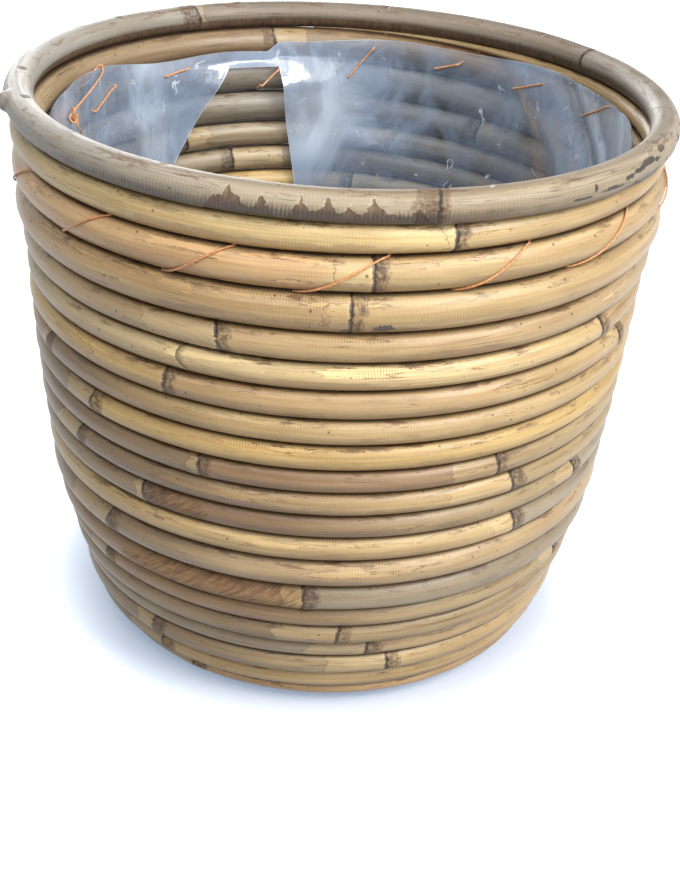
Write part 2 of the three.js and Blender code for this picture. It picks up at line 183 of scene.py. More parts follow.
# Flakes of bark, fuzzy bark, stains and splits seen in the photo: turn counted from the rim, degrees from the
# front, place up the side from -1 to 1, half length in millimetres and half height
SEEN_FLAKES = [
    (3, -24, 0.8, 26, 0.25), (3, -8, 0.85, 22, 0.22), (4, -22, 0.8, 20, 0.22), (4, -7, 0.8, 26, 0.28),
    (5, -2, 0.8, 30, 0.15), (6, -20, 0.7, 18, 0.25), (6, 8, 0.5, 30, 0.35), (9, -12, 0.6, 20, 0.25),
    (11, -18, 0.3, 30, 0.4), (13, -14, 0.6, 34, 0.35), (13, -2, 0.7, 14, 0.25), (14, 8, 0.4, 24, 0.35),
]  # fmt: skip
SEEN_FUZZ = [(15, -20, 0, 44, 1.2), (12, -27, 0, 16, 0.9)]
SEEN_STAINS = [(4, 8.0, -0.5, 5.0, 0.30), (4, 2.2, -0.7, 3.2, 0.25), (5, -17, -0.7, 4.0, 0.25)]
SEEN_SPLITS = [
    (2, -20, 0.4, 16, 0.35), (2, -28, 0.55, 12, 0.3), (5, -24, 0.4, 14, 0.5), (6, 20, 0.2, 20, 0.3),
]  # fmt: skip


# Curves


def on_coil(turn, degrees):
    """A place on the coil from a turn counted from the rim and degrees from the front."""
    return len(TURN_THICKNESS) - turn + degrees / 360


def hermite(start, end, leave, arrive, share):
    """A cubic from start to end with the given slopes."""
    cube, square = share**3, share**2
    rise = 3 * square - 2 * cube
    return (1 - rise) * start + rise * end + (cube - 2 * square + share) * leave + (cube - square) * arrive


def centripetal(points, samples):
    """Dense points of a centripetal Catmull-Rom curve, carried on straight past its ends."""
    line = np.vstack([2 * points[0] - points[1], points, 2 * points[-1] - points[-2]])
    spans = np.sqrt(np.linalg.norm(np.diff(line, axis=0), axis=1))
    share = np.linspace(0, 1, samples, endpoint=False)[:, None]
    parts = []
    for i in range(len(points) - 1):
        a, b, c, d = line[i : i + 4]
        ab, bc, cd = spans[i : i + 3]
        leave = bc * ((b - a) / ab - (c - a) / (ab + bc) + (c - b) / bc)
        arrive = bc * ((c - b) / bc - (d - b) / (bc + cd) + (d - c) / cd)
        parts.append(hermite(b, c, leave, arrive, share))
    return np.vstack([*parts, points[-1]])


def lengths(points):
    """Length along a line of points, from its first."""
    return np.concatenate([[0], np.cumsum(np.linalg.norm(np.diff(points, axis=0), axis=1))])


PROFILE = centripetal(WALL_PROFILE, samples=120)
ARC = lengths(PROFILE)
PROFILE_RISE = np.gradient(PROFILE, ARC, axis=0)
GAPS = np.concatenate([[0], np.cumsum(TURN_THICKNESS)]) * ARC[-1] / sum(TURN_THICKNESS)
GAP_SLOPES = np.concatenate([[GAPS[1] / 2], (GAPS[2:] - GAPS[:-2]) / 2, [(GAPS[-1] - GAPS[-2]) / 2]])


def smoothstep(value, low, high):
    """0 below low, 1 above high, and a soft rise between."""
    share = np.clip((value - low) / (high - low), 0, 1)
    return share * share * (3 - 2 * share)


def gap_height(turns):
    """How far up the wall an even coil's top lies at places on it."""
    place = np.clip(turns + TURNS_BEFORE, 0, len(TURN_THICKNESS))
    low = np.minimum(place.astype(int), len(TURN_THICKNESS) - 1)
    return hermite(GAPS[low], GAPS[low + 1], GAP_SLOPES[low], GAP_SLOPES[low + 1], place - low)


def coil_top(turns):
    """The same for this coil, whose canes are thicker at the back left, so that it meets the level rim."""
    place = turns - np.floor(turns)
    room = ARC[-1] - gap_height(TOP_CROSSING - 1 + place)
    part = smoothstep(place, *LIFT_RISE) * (1 - smoothstep(place, *LIFT_FALL))
    lift = room * part * np.clip((turns - LIFT_TURNS[0]) / (LIFT_TURNS[1] - LIFT_TURNS[0]), 0, 1)
    return np.minimum(gap_height(turns) + lift, ARC[-1])


def signed(degrees):
    """The same direction, from -180 to 180 degrees."""
    return (degrees + 180) % 360 - 180


def around(turns, radius, height):
    """Points from places round the basket."""
    angle = turns * TURN
    return np.stack([radius * np.sin(angle), -radius * np.cos(angle), height + 0 * angle], -1)


def wall_frame(turns, arc):
    """Point and directions out and up at places round the basket and lengths up the wall."""
    radius, height = (np.interp(arc, ARC, PROFILE[:, i]) for i in range(2))
    run, rise = (np.interp(arc, ARC, PROFILE_RISE[:, i]) for i in range(2))
    run, rise = np.array([run, rise]) / np.hypot(run, rise)
    return around(turns, radius, height), around(turns, rise, -run), around(turns, run, rise)


def coil_half(turns):
    """Half the room that the coil takes up the wall."""
    return (coil_top(turns) - coil_top(turns - 1)) / 2


def coil_frame(turns):
    """Middle, directions out and up, and half thickness of the coil at places on it."""
    turns = np.asarray(turns, float)
    point, out, up = wall_frame(turns, (coil_top(turns) + coil_top(turns - 1)) / 2)
    return point, out, up, coil_half(turns) - CANE_GAP / 2 + SNUG * smoothstep(turns, *SNUG_TURNS)


def coil_point(turns, x, y):
    """Points beside the coil's middle line, x outward and y up the wall."""
    middle, out, up, _ = coil_frame(turns)
    return middle + np.asarray(x)[..., None] * out + np.asarray(y)[..., None] * up


def rim_frame(turns):
    """Middle, directions out and up, and half thickness of the level rim at places round it."""
    turns = np.asarray(turns, float)
    one = np.ones_like(turns)
    return (
        around(turns, RIM_RADIUS * one, RIM_HEIGHT * one),
        around(turns, one, 0 * one),
        around(turns, 0 * one, one),
        RIM_THICK / 2 * one,
    )


# Meshes


def add_to_scene(name, data):
    """An object in the scene."""
    made = bpy.data.objects.new(name, data)
    bpy.context.scene.collection.objects.link(made)
    return made


def new_piece(name, points, faces, material):
    """A smooth mesh object that rides on the basket's one body."""
    mesh = bpy.data.meshes.new(name)
    mesh.from_pydata(points.tolist(), [], faces)
    mesh.validate()
    mesh.polygons.foreach_set("use_smooth", [True] * len(mesh.polygons))
    mesh.materials.append(material)
    piece = add_to_scene(name, mesh)
    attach(piece, "root")
    return piece


def paint(piece, name, kind, values):
    """Stores values on a piece's points for its material to read."""
    field = {"FLOAT": "value", "FLOAT_VECTOR": "vector", "FLOAT_COLOR": "color"}[kind]
    attribute = piece.data.attributes.new(name, kind, "POINT")
    attribute.data.foreach_set(field, np.ascontiguousarray(values, np.float32).ravel())


def tube_faces(rings, sides):
    """Faces of a closed tube whose points are rings of the same count, then the middles of its two ends."""
    ring, side = np.meshgrid(np.arange(rings - 1), np.arange(sides), indexing="ij")
    a = ring * sides + side
    b = ring * sides + (side + 1) % sides
    faces = np.stack([a, a + sides, b + sides, b], -1).reshape(-1, 4).tolist()
    last = (rings - 1) * sides
    for s in range(sides):
        after = (s + 1) % sides
        faces.append([rings * sides, s, after])
        faces.append([rings * sides + 1, last + after, last + s])
    return faces


MAP_GAP = 0.04  # between strips of a map, as a share of their width
MAP_TRIM = 0.002  # at the ends of the strips


def unroll(piece, rings, sides, shape):
    """A map of a tube's surface as strips side by side, each about as long as all are wide."""
    length, girth = shape
    strips = max(1, round(math.sqrt(length / girth)))
    per_strip = math.ceil((rings - 1) / strips)
    ring, side = np.meshgrid(np.arange(rings - 1), np.arange(sides), indexing="ij")
    strip = (ring // per_strip).reshape(-1, 1)
    across = side.reshape(-1, 1) + np.array([0, 0, 1, 1])
    up = (ring % per_strip).reshape(-1, 1) + np.array([0, 1, 1, 0])
    u = (strip + MAP_GAP + (1 - 2 * MAP_GAP) * across / sides) / strips
    v = MAP_TRIM + (1 - 2 * MAP_TRIM) * up / per_strip
    corners = np.stack([u, v], -1).reshape(-1, 2)
    caps = np.full((sides * 2 * 3, 2), MAP_TRIM / 2)
    layer = piece.data.uv_layers.new(name="OFBake")
    layer.data.foreach_set("uv", np.vstack([corners, caps]).astype(np.float32).ravel())


CLOSE_RINGS = np.array([0.35, 0.7, 1.1, 1.6, 2.2, 3, 4]) * MM  # away from a node, on both sides
ROUGH_POINTS = 4000  # to measure a cane's length
END_CLEAR, EVEN_CLEAR, LEAST_STEP = 0.5 * MM, 0.3 * MM, 0.05 * MM


def ring_places(frame_of, start, end, step, marks):
    """Places of a cane's rings: even steps, and close ones beside its marks. Also their length along it."""
    rough = np.linspace(start, end, ROUGH_POINTS)
    run = lengths(frame_of(rough)[0])
    even = np.linspace(0, run[-1], max(2, round(run[-1] / step)))
    close = np.concatenate([-CLOSE_RINGS[::-1], [0], CLOSE_RINGS])
    beside = (np.interp(marks, rough, run)[:, None] + close).ravel()
    beside = beside[(beside > END_CLEAR) & (beside < run[-1] - END_CLEAR)]
    clear = [np.abs(beside - place).min(initial=1) > EVEN_CLEAR for place in even]
    along = np.sort(np.concatenate([even[clear], beside, [0, run[-1]]]))
    along = along[np.concatenate([[True], np.diff(along) > LEAST_STEP])]
    return np.interp(along, run, rough), along


def tint_along(turns, marks, shift):
    """Tint at places on a cane: between two nodes it fades from the one's tone to the other's."""
    places = np.array([mark["turns"] for mark in marks])
    leaving = np.array([TONES[mark["after"]] for mark in marks])
    coming = np.array([TONES[mark["before"]] for mark in marks])
    following = np.clip(np.searchsorted(places, turns - shift), 1, len(marks) - 1)
    last = following - 1
    share = smoothstep((turns - places[last]) / (places[following] - places[last]), 0.2, 0.8)[..., None]
    return (1 - share) * leaving[last] + share * coming[following]


class Cane:
    """A bent cane: a tube whose points know their place along it and round it."""

    def __init__(self, frame_of, start, end, step, sides, nodes, ends):
        self.frame_of, self.sides = frame_of, sides
        first, last = start + NODE_CLEAR, end - NODE_CLEAR
        own = [mark for mark in nodes if mark["scar"] and first < mark["turns"] < last]
        turns, along = ring_places(frame_of, start, end, step, np.array([mark["turns"] for mark in own]))
        self.theta = np.arange(sides) / sides * TURN - math.pi / 2
        run = along[-1] / (end - start)
        slanted = -SCARF * np.cos(self.theta - SCARF_FACING)
        shift = np.zeros((len(turns), sides))
        for spliced, away, sign in ((ends[0], along, 1), (ends[1], along[-1] - along, -1)):
            if spliced:
                reach = np.clip(1 - away / (3 * SCARF), 0, 1) ** 2
                shift += reach[:, None] * (slanted + sign * SPLICE_GAP / 2)
        self.along = along[:, None] + shift
        self.turns = np.interp(self.along, along, turns)
        past = self.along - np.clip(self.along, 0, along[-1])
        self.turns += past / run
        # Full at the sides, nothing where the cane lies on its neighbours
        self.free = 1 - np.abs(np.sin(self.theta)) ** 6
        self.fields(own)
        slants = np.array([self.slant(mark) for mark in nodes])
        nearest = np.abs(self.turns[..., None] - [mark["turns"] for mark in nodes]).argmin(-1)
        self.tint = tint_along(self.turns, nodes, slants[nearest, np.arange(sides)] * MM / run)

    def slant(self, mark):
        """How far along the cane a node's ring lies, in millimetres, at places round the cane."""
        return mark["slant"] * np.sin(self.theta + mark["facing"])

    def fields(self, nodes):
        """Millimetres into the pale cane before a node, into the scar after it, and from its ring."""
        shape = self.along.shape
        self.pale, self.scar = np.full(shape, -NODE_REACH), np.full(shape, -NODE_REACH)
        self.ring = np.full(shape, NODE_REACH)
        self.swell = np.zeros(shape)
        for mark in nodes:
            place = np.interp(mark["turns"], self.turns[:, 0], self.along[:, 0])
            past = (self.along - place) / MM - self.slant(mark)
            before = np.where(past <= 0, past + abs(mark["pale"]), -NODE_REACH)
            if mark["pale"] > 0:
                self.pale = np.maximum(self.pale, before)
            else:
                self.scar = np.maximum(self.scar, before)
            after = np.where(past > 0, mark["scar"] - past, -NODE_REACH)
            self.scar = np.maximum(self.scar, after)
            self.ring = np.minimum(self.ring, np.abs(past))
            ridge = sum(rise * np.exp(-((past / wide) ** 2)) for rise, wide in NODE_RIDGE)
            self.swell += ridge * self.free

    def near(self, rows):
        """1 at marks on the outer side, falling to 0 round them: turns, place up, half length and height."""
        total = np.zeros(self.along.shape)
        height = np.sin(self.theta)
        for turns, up, length, tall in rows:
            place = np.interp(turns, self.turns[:, 0], self.along[:, 0])
            far = ((self.along - place) / MM / length) ** 2 + ((height - up) / tall) ** 2
            inside = (self.turns.min() < turns < self.turns.max()) & (np.cos(self.theta) > -0.1)
            total = np.maximum(total, np.where(inside, np.exp(-far), 0))
        return total

    def build(self, name, material, relief, offset):
        """Makes the mesh. Relief is a share of the half thickness; the offset shifts the looks along."""
        middle, out, up, half = self.frame_of(self.turns)
        reach = (half * (1 + relief + self.swell))[..., None]
        circle = np.stack([np.cos(self.theta), np.sin(self.theta)])
        points = middle + reach * (circle[0][:, None] * out + circle[1][:, None] * up)
        rings = len(points)
        ends = [points[0].mean(0), points[-1].mean(0)]
        points = np.vstack([points.reshape(-1, 3), ends])
        piece = new_piece(name, points, tube_faces(rings, self.sides), material)
        unroll(piece, rings, self.sides, (self.along[-1, 0], TURN * half.mean()))
        cane = np.stack(np.broadcast_arrays(self.along + offset, *circle), -1)
        tint = np.concatenate([self.tint, np.ones((*self.along.shape, 1))], -1)
        paint(piece, "cane", "FLOAT_VECTOR", whole(cane))
        paint(piece, "node", "FLOAT_VECTOR", whole(np.stack([self.pale, self.scar, self.ring], -1)))
        paint(piece, "tint", "FLOAT_COLOR", whole(tint))
        return piece


def whole(values):
    """A tube's values ring by ring, then those for the middles of its two ends."""
    return np.concatenate([values.reshape(-1, values.shape[-1]), values[0][:1], values[-1][:1]])


WAVE_SPANS = (0.31, 0.17, 0.083, 0.047)
WALL_WAVES, RIM_WAVES = 0.005, 0.004


def waves(along, theta, size):
    """Slow swelling and out-of-roundness of a natural cane, as a share of its half thickness."""
    total = np.zeros(np.broadcast(along, theta).shape)
    for span in WAVE_SPANS:
        phase, turn = draw.uniform(0, TURN, 2)
        total += size * np.sin(along / span * TURN + phase)
        total += size * np.sin(along / (1.7 * span) * TURN + turn) * np.cos(2 * theta + phase)
    return total


def cane_node(turns, before, after, pale, scar):
    """A node of a cane, with a random slant to its ring."""
    return {
        "turns": turns,
        "before": before,
        "after": after,
        "pale": pale,
        "scar": scar,
        "slant": draw.uniform(-NODE_SLANT, NODE_SLANT),
        "facing": draw.uniform(0, TURN),
    }


def coil_nodes():
    """The nodes seen from the front, and between them others where none is seen."""
    seen = [(on_coil(turn, place), *rest) for turn, place, *rest in SEEN_NODES]
    seen.sort(key=lambda row: row[0])
    given = [BEFORE_FIRST, *seen, AFTER_LAST]
    found = []
    for last, following in zip(given, given[1:]):
        found.append(cane_node(*last))
        span = (following[0] - last[0]) * TURN * MEAN_RADIUS
        count = max(0, round(span / HIDDEN_SPAN) - 1)
        before = last[2]
        for i in range(count):
            after = following[1] if i == count - 1 else HIDDEN_TONES[draw.integers(len(HIDDEN_TONES))]
            share = (i + 1 + draw.uniform(-HIDDEN_SHIFT, HIDDEN_SHIFT)) / (count + 1)
            turns = last[0] + share * (following[0] - last[0])
            pale, scar = draw.uniform(*HIDDEN_PALE), draw.uniform(*HIDDEN_SCAR)
            found.append(cane_node(turns, before, after, pale, scar))
            before = after
    return [*found, cane_node(*AFTER_LAST)]


# Materials


class Value:
    """An output of a node, to reckon with like a number."""

    def __init__(self, graph, socket):
        self.graph, self.socket = graph, socket

    def __add__(self, other):
        return self.graph.maths("ADD", self, other)

    def __sub__(self, other):
        return self.graph.maths("SUBTRACT", self, other)

    def __rsub__(self, other):
        return self.graph.maths("SUBTRACT", other, self)

    def __mul__(self, other):
        return self.graph.maths("MULTIPLY", self, other)

    def __abs__(self):
        return self.graph.maths("ABSOLUTE", self)


class Graph:
    """The nodes of a material or world, with short calls for the ones used here."""

    def __init__(self, owner, shader="Principled BSDF", output="Material Output"):
        owner.use_nodes = True
        self.owner, self.tree = owner, owner.node_tree
        self.shader = self.tree.nodes[shader]
        self.surface = self.tree.nodes[output].inputs["Surface"]

    def put(self, socket, value):
        """Sets a socket, or links an output to it."""
        if isinstance(value, Value):
            self.tree.links.new(value.socket, socket)
        elif socket.type == "RGBA":
            socket.default_value = (*value, 1)
        else:
            socket.default_value = value

    def node(self, kind, inputs, output=0, **settings):
        """Adds a node and gives one of its outputs."""
        made = self.tree.nodes.new("ShaderNode" + kind)
        for key, value in settings.items():
            setattr(made, key, value)
        for socket, value in inputs.items():
            self.put(made.inputs[socket], value)
        return Value(self, made.outputs[output])

    def set(self, **inputs):
        """Sets the shader's own sockets, named with underscores for spaces."""
        for name, value in inputs.items():
            self.put(self.shader.inputs[name.replace("_", " ")], value)

    def own(self):
        """What the shader gives out."""
        return Value(self, self.shader.outputs[0])

    def attribute(self, name, output):
        return self.node("Attribute", {}, output, attribute_name=name)

    def place(self):
        """Where a point is, in metres."""
        return self.node("TexCoord", {}, "Object")

    def split(self, vector):
        """The three parts of a vector."""
        parts = self.node("SeparateXYZ", {0: vector}).socket.node.outputs
        return [Value(self, part) for part in parts]

    def maths(self, operation, *values):
        return self.node("Math", dict(enumerate(values)), operation=operation)

    def larger(self, a, b):
        return self.maths("MAXIMUM", a, b)

    def stretch(self, vector, scale):
        return self.node("VectorMath", {0: vector, 1: scale}, operation="MULTIPLY")

    def noise(self, vector, scale, detail=3, rough=0.55, warp=0):
        """Smooth random values from 0 to 1. Scale is how many features there are to a unit of the vector."""
        inputs = {"Vector": self.stretch(vector, scale), "Scale": 1, "Detail": detail}
        inputs |= {"Roughness": rough, "Distortion": warp}
        return self.node("TexNoise", inputs, "Fac")

    def hatch(self, vector, along, span):
        """Wavering lines across a cane, about a span apart."""
        waver = self.noise(vector, (95, 1.0, 1.0), 2) * 9
        return self.step(self.maths("SINE", along * (TURN / span) + waver), -0.1, 0.9)

    def specks(self, vector, scale, size):
        """Scattered dots, on about a fifth of the cells of a random net."""
        far = self.node("TexVoronoi", {"Vector": self.stretch(vector, scale), "Scale": 1}, "Distance")
        cell = Value(self, far.socket.node.outputs["Color"])
        return self.step(self.split(cell)[0], 0.78, 0.82) * self.step(far, 0.4 * size, size, 1, 0)

    def step(self, value, low, high, to_low=0, to_high=1):
        """A soft step from to_low, below low, to to_high, above high."""
        inputs = {0: value, 1: low, 2: high, 3: to_low, 4: to_high}
        return self.node("MapRange", inputs, interpolation_type="SMOOTHSTEP")

    def mix(self, share, a, b, blend="MIX"):
        return self.node("Mix", {0: share, 6: a, 7: b}, 2, data_type="RGBA", blend_type=blend)

    def shade(self, colour, by):
        """A colour made darker or lighter."""
        return self.mix(1, colour, by, "MULTIPLY")

    def bump(self, height, strength, distance, **under):
        inputs = {"Height": height, "Strength": strength, "Distance": distance}
        return self.node("Bump", inputs | under)


def new_material(name):
    return Graph(bpy.data.materials.new(name))


def cane_material(name, look):
    """Cane: skin and flaked patches, cross checks, cracks, specks, dirty gaps darkened further by painted
    shade, painted shade on the lower side, and nodes.
    """
    g = new_material(name)
    place = g.attribute("cane", "Vector")
    along, out, up = g.split(place)
    pale, scar, ring = g.split(g.attribute("node", "Vector"))
    flake_here, fuzz_here, stain_here = g.split(g.attribute("worn", "Color"))
    side = abs(up)
    jag = g.noise(place, (120, 1.2, 1.2), 3, 0.6) - 0.5
    fine = g.noise(place, (520, 3.2, 3.2), 3, 0.65)
    nick = fine - 0.5
    grime = g.noise(place, (60, 1.6, 1.6), 5, 0.7)

    # Paler cane before a node, broad patches, lengthwise streaks and fine grain
    pale_edge = pale + jag * 16
    base = g.mix(g.step(pale_edge, 0, 0.6) * look["pale"], g.attribute("tint", "Color"), TONES["pale"])
    patch = g.noise(place, (16, 0.5, 0.5), 4, 0.6)
    streak = g.noise(place, (6, 1.8, 1.8), 5, 0.65)
    grain = g.noise(place, (45, 13, 13), 2, 0.5)
    patched = g.step(patch, 0.32, 0.68)
    base = g.mix(patched, g.shade(base, (0.87, 0.83, 0.78)), g.shade(base, (1.08, 1.07, 1.05)))
    base = g.mix(g.step(streak, 0.36, 0.56), g.shade(base, (0.81, 0.76, 0.69)), base)
    base = g.mix(g.step(grain, 0.35, 0.65), g.shade(base, (0.91, 0.89, 0.86)), base)

    # Painted shade: the lower side darker and browner, the upper side a little lighter, with a ragged edge
    lower = g.step(up + patch * 2.2 + jag * 0.9, 0.72, 0.98, 1, 0)
    base = g.mix(lower, g.shade(base, (1.04, 1.03, 1.02)), g.shade(base, (0.86, 0.82, 0.81)))

    # Flakes: ragged patches of paler, finely checked cane, mostly on the upper side, with brown edges that
    # are partly painted shade of their step
    flake = g.noise(place, (30, 2.3, 2.3), 5, 0.62) + flake_here * 0.21
    flake += g.step(up, -0.3, 0.8, -0.06, 0.03)
    flaked = g.step(flake, look["flake"], look["flake"] + 0.012)
    base = g.mix(flaked * 0.8, base, g.shade(base, look["flaked"]))
    # A dark line round each flake: its brown edge, partly painted shade at the step
    edge = g.step(abs(flake - look["flake"]), 0.003, 0.016, 1, 0)
    base = g.mix(edge * g.step(grime, 0.40, 0.55, 0.15, 0.80), base, look["line"])
    check = g.hatch(place, along, look["check"])
    patchy = g.step(g.noise(place, (14, 0.6, 0.6), 3), 0.42, 0.62)
    checks = check * patchy * g.step(flaked, 0, 1, look["checks"], 1)
    base = g.mix(checks * g.step(flaked, 0, 1, 0.42, 0.75), base, g.shade(base, (0.55, 0.48, 0.38)))

    # Cracks along the cane, specks, fuzzy bark, stains, ragged marks, and by the gaps painted shade with some
    # dirt
    crack = abs(g.noise(place, (5, 3.4, 3.4), 3, 0.6) - 0.5)
    split_here = g.noise(place, (19, 0.7, 0.7), 2) + g.attribute("worn", "Alpha") * 0.25
    cracked = g.step(crack, 0.003, 0.012, 1, 0) * g.step(split_here, 0.58, 0.66)
    base = g.mix(cracked * 0.65, base, look["dark"])
    base = g.mix(g.specks(place, (230, 1.4, 1.4), 0.16) * look["specks"], base, look["dark"])
    slanted = g.node("CombineXYZ", {0: along * 80 + up * 0.4, 1: along * -560 + up * 4.8, 2: out})
    fibre = g.noise(slanted, (1, 1, 1), 3, 0.6)
    fuzzy = g.step(fuzz_here + jag * 0.5, 0.30, 0.45)
    fibres = g.mix(g.step(fibre, 0.34, 0.60), look["line"] * 0.8, g.shade(base, (1.18, 1.15, 1.08)))
    base = g.mix(fuzzy * 0.75, base, fibres)
    stained = g.step(stain_here + nick * 1.1, 0.45, 0.65)
    base = g.mix(stained * 0.93, base, look["stain"])
    ragged = g.step(side, 0.4, 0.85) * g.step(grime, 0.53, 0.62)
    base = g.mix(ragged * 0.75, base, look["line"])
    # Darker by the gaps between canes: painted shade, with some dirt
    base = g.mix(g.step(side, 0.83, 0.985) * look["gap_shade_and_dirt"], base, look["dark"])

    # Nodes: a line where the pale cane begins, a flecked scar with a line round it, and the ring
    pale_line = g.step(abs(pale_edge), 0.1, 0.5, 1, 0) * g.step(grime, 0.42, 0.55)
    base = g.mix(pale_line * 0.6, base, look["line"])
    scar_edge = scar + jag * 6
    scarred = g.step(scar_edge, 0, 1.2)
    flecks = g.mix(g.step(fine, 0.40, 0.62), look["scar"], g.shade(base, look["scarred"]))
    base = g.mix(scarred * g.step(grime, 0.36, 0.56, 0.55, 0.93), base, flecks)
    scar_line = g.step(abs(scar_edge), 0.2, 1.0, 1, 0) * g.step(grime, 0.44, 0.54)
    base = g.mix(scar_line * 0.6, base, look["line"])
    ringed = g.step(ring + nick * 3.0, 0.35, 1.1, 1, 0)
    base = g.mix(ringed * 0.92, base, look["dark"] * 0.55)

    height = flaked * -0.5 + checks * -0.3 + streak * 0.25 + scarred * fine * 1.2
    height += fuzzy * fibre * 1.6 + cracked * -0.5
    if "torn" in look:
        base, height = torn_bark(g, base, height, look, place, (up, check))

    rough = flaked * 0.12 + g.larger(scarred, fuzzy) * 0.3
    rough += g.step(streak, 0.3, 0.7, look["gloss"], look["gloss"] + 0.12)
    g.set(Base_Color=base, Roughness=rough, Coat_Weight=look["coat"], Coat_Roughness=0.3)
    g.set(Normal=g.bump(height, 0.6, 0.0004))
    return g.owner


def torn_bark(g, base, height, look, place, section):
    """Bare brown patches where the bark has torn off, a pale lip round them that is partly a painted
    highlight, and painted shade with dark cross checks over the rim's lower side.
    """
    up, check = section
    rag = g.noise(place, (330, 2.4, 2.4), 4, 0.65) - 0.5
    torn = g.attribute("torn", "Fac") + rag * 0.60
    bare = g.step(torn, 0.0, 0.05)
    fibre = g.noise(place, (620, 1.0, 1.0), 3, 0.6)
    brown = g.mix(g.step(fibre, 0.36, 0.64), look["torn"] * 0.55, look["torn"] * 1.2)
    base = g.mix(bare * 0.92, base, brown)
    # A pale lip round each torn patch: the torn bark's edge, partly a painted highlight on it
    edge = g.step(torn, -0.10, -0.02) * g.step(torn, -0.01, 0.02, 1, 0)
    base = g.mix(edge * 0.28, base, look["lip"])
    hatched = g.attribute("hatch", "Fac")
    ragged = g.noise(place, (150, 0.6, 0.6), 3, 0.6) - 0.5
    # Painted shade over the lower side: darker there everywhere, much darker where it is closely checked
    # across, with dark check lines
    lower = g.step(up + ragged * 0.9, -0.72, 0.30, 1, 0)
    pale_lines = (1 - check) * hatched * 0.25
    base = g.mix(lower * (g.step(hatched, 0.1, 0.7, 0.30, 0.98) - pale_lines), base, look["hatched"])
    lines = check * hatched * g.step(up + ragged, -0.4, 0.3, 1, 0)
    base = g.mix(lines * 0.8, base, look["hatched"])
    return base, height - bare - lines * 0.5


WALL_LOOK = {
    "pale": 0.40,
    "flake": 0.628,
    "flaked": (1.34, 1.34, 1.28),
    "check": 1.1 * MM,
    "checks": 0.5,
    "specks": 0.8,
    # How far the cane darkens by the gaps: painted shade, with some dirt
    "gap_shade_and_dirt": 0.9,
    "dark": srgb(52, 35, 22),
    "line": srgb(104, 74, 48),
    "scar": srgb(80, 62, 50),
    "scarred": (0.74, 0.72, 0.74),
    "stain": srgb(40, 40, 46),
    "gloss": 0.36,
    "coat": 0.12,
}
RIM_LOOK = WALL_LOOK | {
    "pale": 0.25,
    "flake": 0.64,
    "check": 1.5 * MM,
    "specks": 0.9,
    # How far the rim darkens near its top and bottom: painted shade, with some dirt
    "gap_shade_and_dirt": 0.35,
    "dark": srgb(56, 45, 36),
    "scar": srgb(92, 68, 48),
    "gloss": 0.42,
    "coat": 0.05,
    "stain": srgb(30, 27, 26),
    "torn": srgb(112, 87, 66),
    # Dark of the cross checks and of the painted shade on the rim's lower side
    "hatched": srgb(52, 40, 34),
    # Pale lip round torn patches, partly a painted highlight
    "lip": srgb(210, 198, 170),
}


def film_material():
    """Clear glossy film: a bluish haze, thicker in folds, with painted highlights as whiter, denser haze
    along the hem and along thin creases.
    """
    g = new_material("clear_film")
    place = g.place()
    fold, hem, cloudy = g.split(g.attribute("film", "Vector"))
    cloud = g.noise(place, (34, 34, 22), 5, 0.62, 0.8)
    billow = g.noise(place, (34, 34, 14), 5, 0.62, 0.8)
    dint = g.step(g.noise(place, (58, 58, 46), 2, 0.5, 0.6), 0.585, 0.665)
    soft = g.bump(billow, 0.30, 0.004)
    sharp = g.bump(dint, 0.30, 0.0016, Normal=soft)
    # Painted glints: thin curved creases of whiter, denser haze
    crumple = abs(g.noise(place, (66, 66, 48), 2, 0.5, 1.0) - 0.5)
    painted_glints = g.step(crumple, 0.004, 0.022, 1, 0) * g.step(g.noise(place, (80, 80, 80), 2), 0.58, 0.66)
    # The hem's white line and the crease glints are painted highlights
    edge = g.larger(g.step(hem, 0.75, 0.95), painted_glints)
    white = g.larger(edge, g.step(cloudy, 0.18, 0.55, 0, 0.8))
    g.set(Base_Color=g.mix(white, (0.37, 0.47, 0.64), (0.69, 0.76, 0.83)), Roughness=0.4, Normal=soft)
    clear = g.node("BsdfTransparent", {"Color": (0.80, 0.87, 0.96)})
    density = g.step(cloud, 0.33, 0.67, 0.10, 0.45) + fold * 0.32 + cloudy
    haze = g.node("MixShader", {0: g.larger(density, edge * 0.8), 1: clear, 2: g.own()})
    shine = g.node("BsdfGlossy", {"Color": (1, 1, 1), "Roughness": 0.11, "Normal": sharp})
    facing = g.node("LayerWeight", {"Blend": 0.25, "Normal": soft}, "Fresnel")
    gloss = g.step(facing, 0.0, 1.0, 0.06, 0.26)
    g.put(g.surface, g.node("MixShader", {0: gloss, 1: haze, 2: shine}))
    return g.owner


def thread_material():
    """Copper-orange twisted thread."""
    g = new_material("copper_thread")
    fuzz = g.noise(g.attribute("twist", "Vector"), (900, 1.5, 1.5), 3)
    colour = g.mix(g.step(fuzz, 0.3, 0.7), srgb(184, 110, 56), srgb(236, 174, 114))
    g.set(Base_Color=colour, Roughness=0.42, Sheen_Weight=0.3)
    g.set(Normal=g.bump(fuzz, 0.4, 0.0001))
    return g.owner


TWO_PLIES = 3.6 * MM


